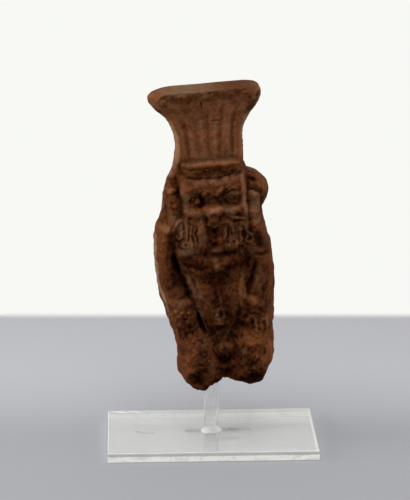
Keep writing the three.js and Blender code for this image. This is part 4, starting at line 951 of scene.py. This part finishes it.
class Finish(Nodes):
    """One material and its nodes."""

    def __init__(self, name, **shader):
        self.material = bpy.data.materials.new(name)
        self.material.use_nodes = True
        super().__init__(self.material.node_tree)
        self.shader = self.add("ShaderNodeBsdfPrincipled", {}, {})
        self.add("ShaderNodeOutputMaterial", {}, {0: Wire(self, self.shader.outputs[0])})
        self.set(**shader)

    def set(self, **shader):
        for name, value in shader.items():
            self.join(self.shader.inputs[name.replace("_", " ")], value)

    def stain(self, part, colour, tint):
        """The colour, multiplied by a tint where part is 1."""
        return self.mix(part, colour, tint, "MULTIPLY")

    def tone(self, name):
        """A value stored on the mesh."""
        return self.node("ShaderNodeAttribute", {"attribute_name": name}, {}, 2)

    def place(self):
        """The object's own place, in millimetres."""
        at = self.node("ShaderNodeTexCoord", {}, {}, 3)
        return self.node("ShaderNodeVectorMath", {"operation": "SCALE"}, {0: at, 3: 1 / MM})

    def stretched(self, at, x, y, z):
        return self.node("ShaderNodeVectorMath", {"operation": "MULTIPLY"}, {0: at, 1: (x, y, z)})

    def lumps(self, at, size, detail=3.0, rough=0.55):
        """Noise with lumps of a size in millimetres, 0 to 1."""
        sockets = {"Vector": at, "Scale": 1 / size, "Detail": detail, "Roughness": rough}
        return self.node("ShaderNodeTexNoise", {}, sockets)

    def line(self, at, start, end, width):
        """1 along a line on the flat between two ends, falling to 0 at its width."""
        x, y, _ = self.split(at)
        dx, dy = end[0] - start[0], end[1] - start[1]
        part = (((x - start[0]) * dx + (y - start[1]) * dy) / (dx * dx + dy * dy)).held()
        off_x, off_y = x - start[0] - part * dx, y - start[1] - part * dy
        return 1 - (off_x * off_x + off_y * off_y).rise(0.0, width * width)

    def bump(self, height, depth, strength):
        sockets = {"Strength": strength, "Distance": depth * MM, "Height": height}
        return self.node("ShaderNodeBump", {}, sockets)


def rgb(r, g, b):
    return (r, g, b, 1.0)


def terracotta():
    f = Finish("terracotta", IOR=1.45, Specular_IOR_Level=0.06)
    at = f.place()
    broad, blotch, mottle, grain = (f.lumps(at, size) for size in (9.0, 3.2, 1.1, 0.35))
    dirt_and_shade, dust_and_highlight, rust, rose, rubbed, painted_rim_light, hollow, height, crowned, broken = (
        f.tone(name) for name in (*TONES, "hollow", "height", "crown", "broken"))
    body = 1 - crowned

    def patchy(spots, least, more, share):
        """A tone broken up by the mottling."""
        return (spots * (least + more * mottle)).held() * share

    # The clay: brighter and smoother on the crown than on the body
    cloudy = (broad * 0.5 + blotch * 0.5).rise(0.3, 0.7)
    clay = f.mix(cloudy, rgb(0.25, 0.083, 0.030), rgb(0.38, 0.155, 0.068))
    uneven = f.lumps(at, 2.0, 6.0, 0.68).rise(0.34, 0.64)
    skin = f.mix(uneven, rgb(0.048, 0.0130, 0.0036), rgb(0.150, 0.044, 0.0130))
    colour = f.mix(body, f.stain(1 - uneven, clay, rgb(0.74, 0.68, 0.64)), skin)

    # Rust-red skin, worn crests partly lightened as a painted highlight, dust with painted highlights, rubbed
    # patches, painted rim light and reddened patches
    # Lighter clay on crests: partly wear, partly a painted highlight on the raised places
    crest_wear_and_highlight = (hollow * -1).rise(0.05, 0.6)
    fleck = f.lumps(at, 0.55, 2.0, 0.65)
    worn = (crest_wear_and_highlight * 0.6 + (mottle - 0.5) * 1.3 + (fleck - 0.5) * 2.4).held()
    rust_red = f.mix(body, rgb(0.23, 0.062, 0.020), rgb(0.175, 0.040, 0.009))
    wear_and_highlight_tan = f.mix(body, rgb(0.35, 0.155, 0.070), rgb(0.36, 0.130, 0.046))
    dust_and_highlight_tan = f.mix(crowned, rgb(0.33, 0.157, 0.080), rgb(0.50, 0.28, 0.15))
    colour = f.mix(patchy(rust, 0.4, 1.2, 0.75), colour, rust_red)
    colour = f.mix(worn * (0.38 - 0.06 * body), colour, wear_and_highlight_tan)
    # Dust, with painted highlights
    colour = f.mix(patchy(dust_and_highlight, 0.3, 1.4, 0.8), colour, dust_and_highlight_tan)
    colour = f.mix(patchy(rubbed, 0.3, 1.3, 0.8), colour, rgb(0.36, 0.125, 0.043))
    # Painted rim light
    colour = f.mix(patchy(painted_rim_light, 0.4, 1.2, 0.85), colour, rgb(0.44, 0.25, 0.15))
    sparkle = f.lumps(at, 0.7, 2.0, 0.6).rise(0.56, 0.68) * rust * body * 0.7
    colour = f.mix(sparkle.held(), colour, rgb(0.40, 0.17, 0.060))
    hue = f.lumps(at, 3.6, 4.0, 0.62).rise(0.32, 0.68)
    colour = f.stain(1.0, colour, f.mix(hue, rgb(1.05, 0.91, 0.86), rgb(0.94, 1.09, 1.12)))
    colour = f.mix(patchy(rose, 0.5, 1.0, 0.6), colour, rgb(0.36, 0.125, 0.075))

    # Painted shade on the lip's front and on the crown's top, darker towards the foot, dirt with painted
    # shade, and the darker break
    # Painted shade on the lip's front band
    colour = f.mix(height.rise(0.955, 0.98) * 0.12, colour, rgb(0.13, 0.045, 0.020))
    colour = f.stain(1 - height.rise(0.02, 0.17), colour, rgb(0.80, 0.70, 0.64))
    # Painted shade on the crown's top
    colour = f.stain(height.rise(0.985, 0.998), colour, rgb(0.58, 0.64, 0.68))
    # Painted shade in hollows, from how deep each point lies, added to the dirt and painted shade patches
    deep = hollow.rise(0.05, 0.9)
    dirt_and_painted_shade = (dirt_and_shade * (0.35 + 1.3 * mottle) + deep * (0.25 + 0.3 * body)).held()
    specks = f.lumps(at, 0.75, 2.5, 0.65).rise(0.52, 0.66) * 0.15 * (1 - rubbed * 0.8)
    colour = f.stain((dirt_and_painted_shade + specks).held(), colour, rgb(0.19, 0.138, 0.098))
    colour = f.mix(broken * 0.6, colour, rgb(0.09, 0.032, 0.012))

    pits = f.lumps(at, 1.1, 5.0, 0.7)
    f.set(Base_Color=colour, Roughness=(0.82 + 0.16 * grain - 0.10 * worn).held(),
          Normal=f.bump(pits * 0.7 + grain * 0.3, 0.9, 0.85))
    return f.material


def acrylic(name, rough, tint, frost, scratches=()):
    """Clear polished acrylic with a little haze; a scratch is two ends, a width and a depth."""
    f = Finish(name, IOR=1.49, Transmission_Weight=1.0 - frost, Alpha=0.6)
    at = f.place()
    scuffs = f.lumps(f.stretched(at, 1.0, 0.25, 1.0), 1.2, 4.0, 0.7).rise(0.55, 0.75)
    marks = scuffs * 0.06
    for start, end, width, depth in scratches:
        marks = marks + f.line(at, start, end, width) * f.lumps(at, 0.9, 3.0, 0.6).rise(0.3, 0.6) * depth
    f.set(Base_Color=f.mix(marks.held(), rgb(*tint), rgb(0.10, 0.10, 0.095)),
          Roughness=(rough + scuffs * 0.08 + marks * 0.4).held())
    return f.material


def sawn_edge(name, clear, painted_glow, band):
    """Acrylic under the saw: white and mottled low on the edge, and clearer near the top; its emission is a
    painted glow, strongest where the edge is milky.
    """
    f = Finish(name, IOR=1.49, Transmission_Weight=clear, Emission_Strength=painted_glow)
    at = f.place()
    height = f.split(at)[2]
    saw = f.lumps(f.stretched(at, 1.0, 1.0, 6.0), 0.5, 3.0, 0.6)
    patches = f.lumps(f.stretched(at, 1.0, 1.0, 3.0), 5.0, 4.0, 0.65)
    milky = f.lumps(f.stretched(at, 1.0, 1.0, 1.8), 3.2, 6.0, 0.72).rise(0.34, 0.56)
    upper = height.rise(1.8, 2.3) * (1.2 - patches * 0.5) * band
    clear_part = (upper + (1 - milky) * 0.5 * band + patches.rise(0.60, 0.72) * 0.4).held()
    white = f.mix(saw.rise(0.3, 0.8), rgb(0.97, 0.97, 0.90), rgb(1.0, 1.0, 0.97))
    f.set(Emission_Color=f.mix(clear_part, rgb(1.0, 1.0, 0.93), rgb(0.12, 0.12, 0.115)),
          Base_Color=f.mix(clear_part * 0.8, white, rgb(0.66, 0.66, 0.64)),
          Roughness=(0.12 + 0.2 * saw).held(), Normal=f.bump(saw, 0.05, 0.3))
    return f.material


def cement():
    # The emission is a faint painted glow that keeps the bead bright
    f = Finish("cement_clear", IOR=1.48, Transmission_Weight=0.1, Emission_Strength=0.06,
               Emission_Color=rgb(1.0, 1.0, 0.95))
    cloud = f.lumps(f.place(), 1.0, 3.0)
    f.set(Base_Color=f.mix(cloud.rise(0.3, 0.7), rgb(0.93, 0.92, 0.86), rgb(0.99, 0.98, 0.95)),
          Roughness=(0.12 + 0.25 * cloud).held())
    return f.material


# The rod, plate and cement

def lathe(name, profile, sides):
    """A closed turned body from radius and height pairs, ends on the axis."""
    angle = np.linspace(0, 2 * math.pi, sides, endpoint=False)
    circle = np.stack([np.cos(angle), np.sin(angle)], -1)
    rings = [at_height(circle * r, z) for r, z in profile[1:-1]]
    piece = closed_piece(name, rings, (0, 0, profile[0][1]), (0, 0, profile[-1][1]))
    piece.data.shade_smooth()
    return piece


def clear_rod():
    """A rod with softened ends."""
    r, low, high, soft = ROD_RADIUS, ROD_LOW[2], ROD_HIGH[2], 0.35
    turn = [(r - soft + soft * math.sin(a), soft * math.cos(a)) for a in np.linspace(0, math.pi / 2, 5)]
    profile = [(0, low)] + [(x, low + soft - y) for x, y in turn]
    profile += [(r, z) for z in np.linspace(low + 1, high - 1, 12)]
    profile += [(x, high - soft + y) for x, y in turn[::-1]] + [(0, high)]
    return lathe("clear_rod", profile, 96)


CLEAR, SAWN, ARRIS = 0, 1, 2        # the plate's finishes
PLATE_SIDE_POINTS = 72


def clear_plate():
    """A sheet with sawn edges, a blind bore for the rod and a chipped corner at the back left."""
    (x0, y0, z0), (x1, y1, z1) = PLATE_LOW, PLATE_HIGH
    soft = 0.28
    chip_reach = 12
    part = np.linspace(0, 1, PLATE_SIDE_POINTS, endpoint=False)[:, None]
    corners = np.array([(x0, y0), (x1, y0), (x1, y1), (x0, y1)])
    outline = np.vstack([a + (b - a) * part for a, b in zip(corners, np.roll(corners, -1, 0))])
    on_side = np.abs(outline) > np.array([x1, y1]) - 1e-6
    inward = -np.sign(outline) * on_side
    run = np.arange(len(outline)) * 0.9
    back_left = on_side[:, 1] & (outline[:, 1] > 0) & (outline[:, 0] < x0 + chip_reach)
    chip = 0.9 * np.clip(noise(run, 0 * run, 1.2, 73) + 0.35, 0, 1) * back_left
    worn = (0.08 + lumpy(run, 0 * run, (0.05, 1.7, 71), (0.03, 0.6, 72)) + 0.45 * chip)[:, None]
    edge = [outline + inward * (inset * soft + worn * take) for inset, take in (
        (1, 0.3), (0.3, 0.4), (0, 0.5), (0, 0.6), (0, 1), (0.3, 1.3), (1, 1.6))]
    heights = (z0, z0 + 0.3 * soft, z0 + soft, (z0 + z1) / 2, z1 - soft, z1 - 0.3 * soft, z1)
    angle = np.arctan2(outline[:, 1], outline[:, 0])
    bore = np.column_stack([np.cos(angle), np.sin(angle)]) * BORE_RADIUS
    under = [at_height(edge[0] * s, z0) for s in (0.3, 0.7, 0.95)]
    over = [at_height(edge[-1] * (1 - s) + bore * s, z1) for s in (0.04, 0.12, 0.3, 0.6, 0.85, 1)]
    rings = under + [at_height(*pair) for pair in zip(edge, heights)] + over
    rings += [at_height(bore * r, BORE_FOOT) for r in (1, 0.5)]
    piece = closed_piece("clear_plate", rings, (0, 0, z0), (0, 0, BORE_FOOT))
    finishes = np.full((len(rings) + 1, len(outline)), CLEAR, dtype=np.int32)
    first = len(under)
    finishes[first:first + 6] = np.array([ARRIS, ARRIS, SAWN, SAWN, ARRIS, ARRIS])[:, None]
    finishes[first + 6:first + 8, chip > 0.3] = ARRIS
    return piece, finishes.ravel()


# Scratches and smears on the plate's top: two ends, width and depth
PLATE_SCRATCHES = [
    ((2.8, 0.9), (7.6, 1.1), 2.6, 0.65), ((6, 1.2), (12.4, 0.4), 1.3, 0.6),
    ((-7.6, -0.4), (-3, 0.2), 2.2, 0.7), ((-25, -0.6), (-22.4, -2.2), 0.8, 1),
    ((-22.4, -2.2), (-18.6, -2), 0.7, 0.9), ((9, 13.6), (19, 14.4), 0.4, 0.3)]


def cement_bead():
    """The cement round the rod's foot, not quite round."""
    steps = ((0.7, -0.05), (0.9, 0.03), (0.7, 0.2), (0.4, 0.38), (0.15, 0.62), (0.02, 0.9))
    profile = [(ROD_RADIUS + out, PLATE_TOP + up) for out, up in steps]
    piece = lathe("cement_bead", [(0, PLATE_TOP - 0.1), *profile, (0, PLATE_TOP + 0.9)], 64)
    for v in piece.data.vertices:
        if math.hypot(v.co.x, v.co.y) > (ROD_RADIUS + 0.1) * MM:
            a = math.atan2(v.co.y, v.co.x)
            grow = 1 + 0.06 * math.sin(2 * a + 0.6) + 0.03 * math.sin(5 * a)
            v.co.x *= grow
            v.co.y *= grow
    return piece


# The pieces put together

clay_figure = figure()
clay_figure.data.materials.append(terracotta())
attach(clay_figure, "root")
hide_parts("figure")

rod = clear_rod()
rod.data.materials.append(acrylic("acrylic_rod", 0.02, (1.0, 1.0, 0.995), 0.14))
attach(rod, "root")
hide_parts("rod")

plate, sawn_faces = clear_plate()
plate.data.materials.append(acrylic("acrylic_plate", 0.09, (1.0, 0.995, 0.955), 0.32, PLATE_SCRATCHES))
plate.data.materials.append(sawn_edge("acrylic_sawn", 0.3, 0.26, 1.0))
plate.data.materials.append(sawn_edge("acrylic_arris", 0.4, 0.07, 0.2))
plate.data.polygons.foreach_set("material_index", sawn_faces)
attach(plate, "root")
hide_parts("base_plate")

bead = cement_bead()
bead.data.materials.append(cement())
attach(bead, "root")

# Floor, light and camera

VIEW_AZIMUTH, VIEW_ELEVATION = math.radians(-2.16), math.radians(15.76)
VIEW_DISTANCE, VIEW_TARGET = 781.4, (-2.09, 0, 65.60)
LENS, SENSOR_WIDTH = 172.8, 36


def floor():
    """A pale ground that fades out at its edges."""
    half, soft, drop = 139, 5.0, 0.05
    steps = [-half - soft, -half, half, half + soft]
    points = [(x * MM, y * MM, -drop * MM) for y in steps for x in steps]
    faces = [(r * 4 + c, r * 4 + c + 1, r * 4 + c + 5, r * 4 + c + 4) for r in range(3) for c in range(3)]
    mesh = bpy.data.meshes.new("floor")
    mesh.from_pydata(points, [], faces)
    f = Finish("floor_pale", Roughness=0.9, Specular_IOR_Level=0.2)
    x, y, _ = f.split(f.place())
    far = x.sum("MAXIMUM", x.sum("ABSOLUTE", x), y.sum("ABSOLUTE", y))
    f.set(Alpha=1 - far.rise(half - soft, half + soft),
          # Painted light: lighter towards the back, where it offsets the figure's shadow
          Base_Color=f.mix(y.rise(-20, 80), rgb(0.405, 0.41, 0.432), rgb(0.545, 0.55, 0.572)))
    mesh.materials.append(f.material)
    piece = added("floor", mesh)
    piece.rotation_euler = (0, 0, VIEW_AZIMUTH)


def world():
    """A white room: bright behind, at the sides and above, and darker towards the camera."""
    made = bpy.data.worlds.new("studio")
    bpy.context.scene.world = made
    made.use_nodes = True
    room = Nodes(made.node_tree)
    y = room.split(room.node("ShaderNodeTexCoord", {}, {}, 0))[1]
    seen, _, matt = room.outputs("ShaderNodeLightPath", {}, {})[:3]
    glass = room.mix(y.rise(-0.9, 0.25), rgb(0.30, 0.30, 0.31), rgb(0.86, 0.87, 0.88))
    soft = room.mix(y.rise(-0.3, 0.5), rgb(0.11, 0.11, 0.115), rgb(0.46, 0.465, 0.47))
    colour = room.mix(seen, room.mix(matt, glass, soft), rgb(0.935, 0.945, 0.905))
    shine = room.node("ShaderNodeBackground", {}, {0: colour, 1: 1.0})
    room.add("ShaderNodeOutputWorld", {}, {0: shine})


def lamp(name, at, size, power, aim=(0, 0, 70)):
    light = bpy.data.lights.new(name, "AREA")
    light.shape = "RECTANGLE"
    light.size, light.size_y, light.energy = size[0] * MM, size[1] * MM, power
    piece = added(name, light)
    way = np.array(at) - np.array(aim)
    turn = math.atan2(way[0], -way[1])
    tilt = math.atan2(way[2], math.hypot(way[0], way[1]))
    piece.location = [v * MM for v in at]
    piece.rotation_euler = (math.pi / 2 - tilt, 0, turn)


def camera():
    data = bpy.data.cameras.new("camera")
    data.lens, data.sensor_width = LENS, SENSOR_WIDTH
    data.clip_start, data.clip_end = 0.01, 20
    piece = added("camera", data)
    level = math.cos(VIEW_ELEVATION)
    back = (math.sin(VIEW_AZIMUTH) * level, -math.cos(VIEW_AZIMUTH) * level, math.sin(VIEW_ELEVATION))
    piece.location = [(t + b * VIEW_DISTANCE) * MM for t, b in zip(VIEW_TARGET, back)]
    piece.rotation_euler = (math.pi / 2 - VIEW_ELEVATION, 0, VIEW_AZIMUTH)
    bpy.context.scene.camera = piece


floor()
world()
lamp("key_above", (-55, -160, 620), (480, 360), 2.2)
lamp("left", (-520, -70, 240), (220, 360), 1.42)
lamp("right", (520, -80, 220), (220, 360), 0.95)
camera()
bpy.context.scene.view_settings.view_transform = "Standard"
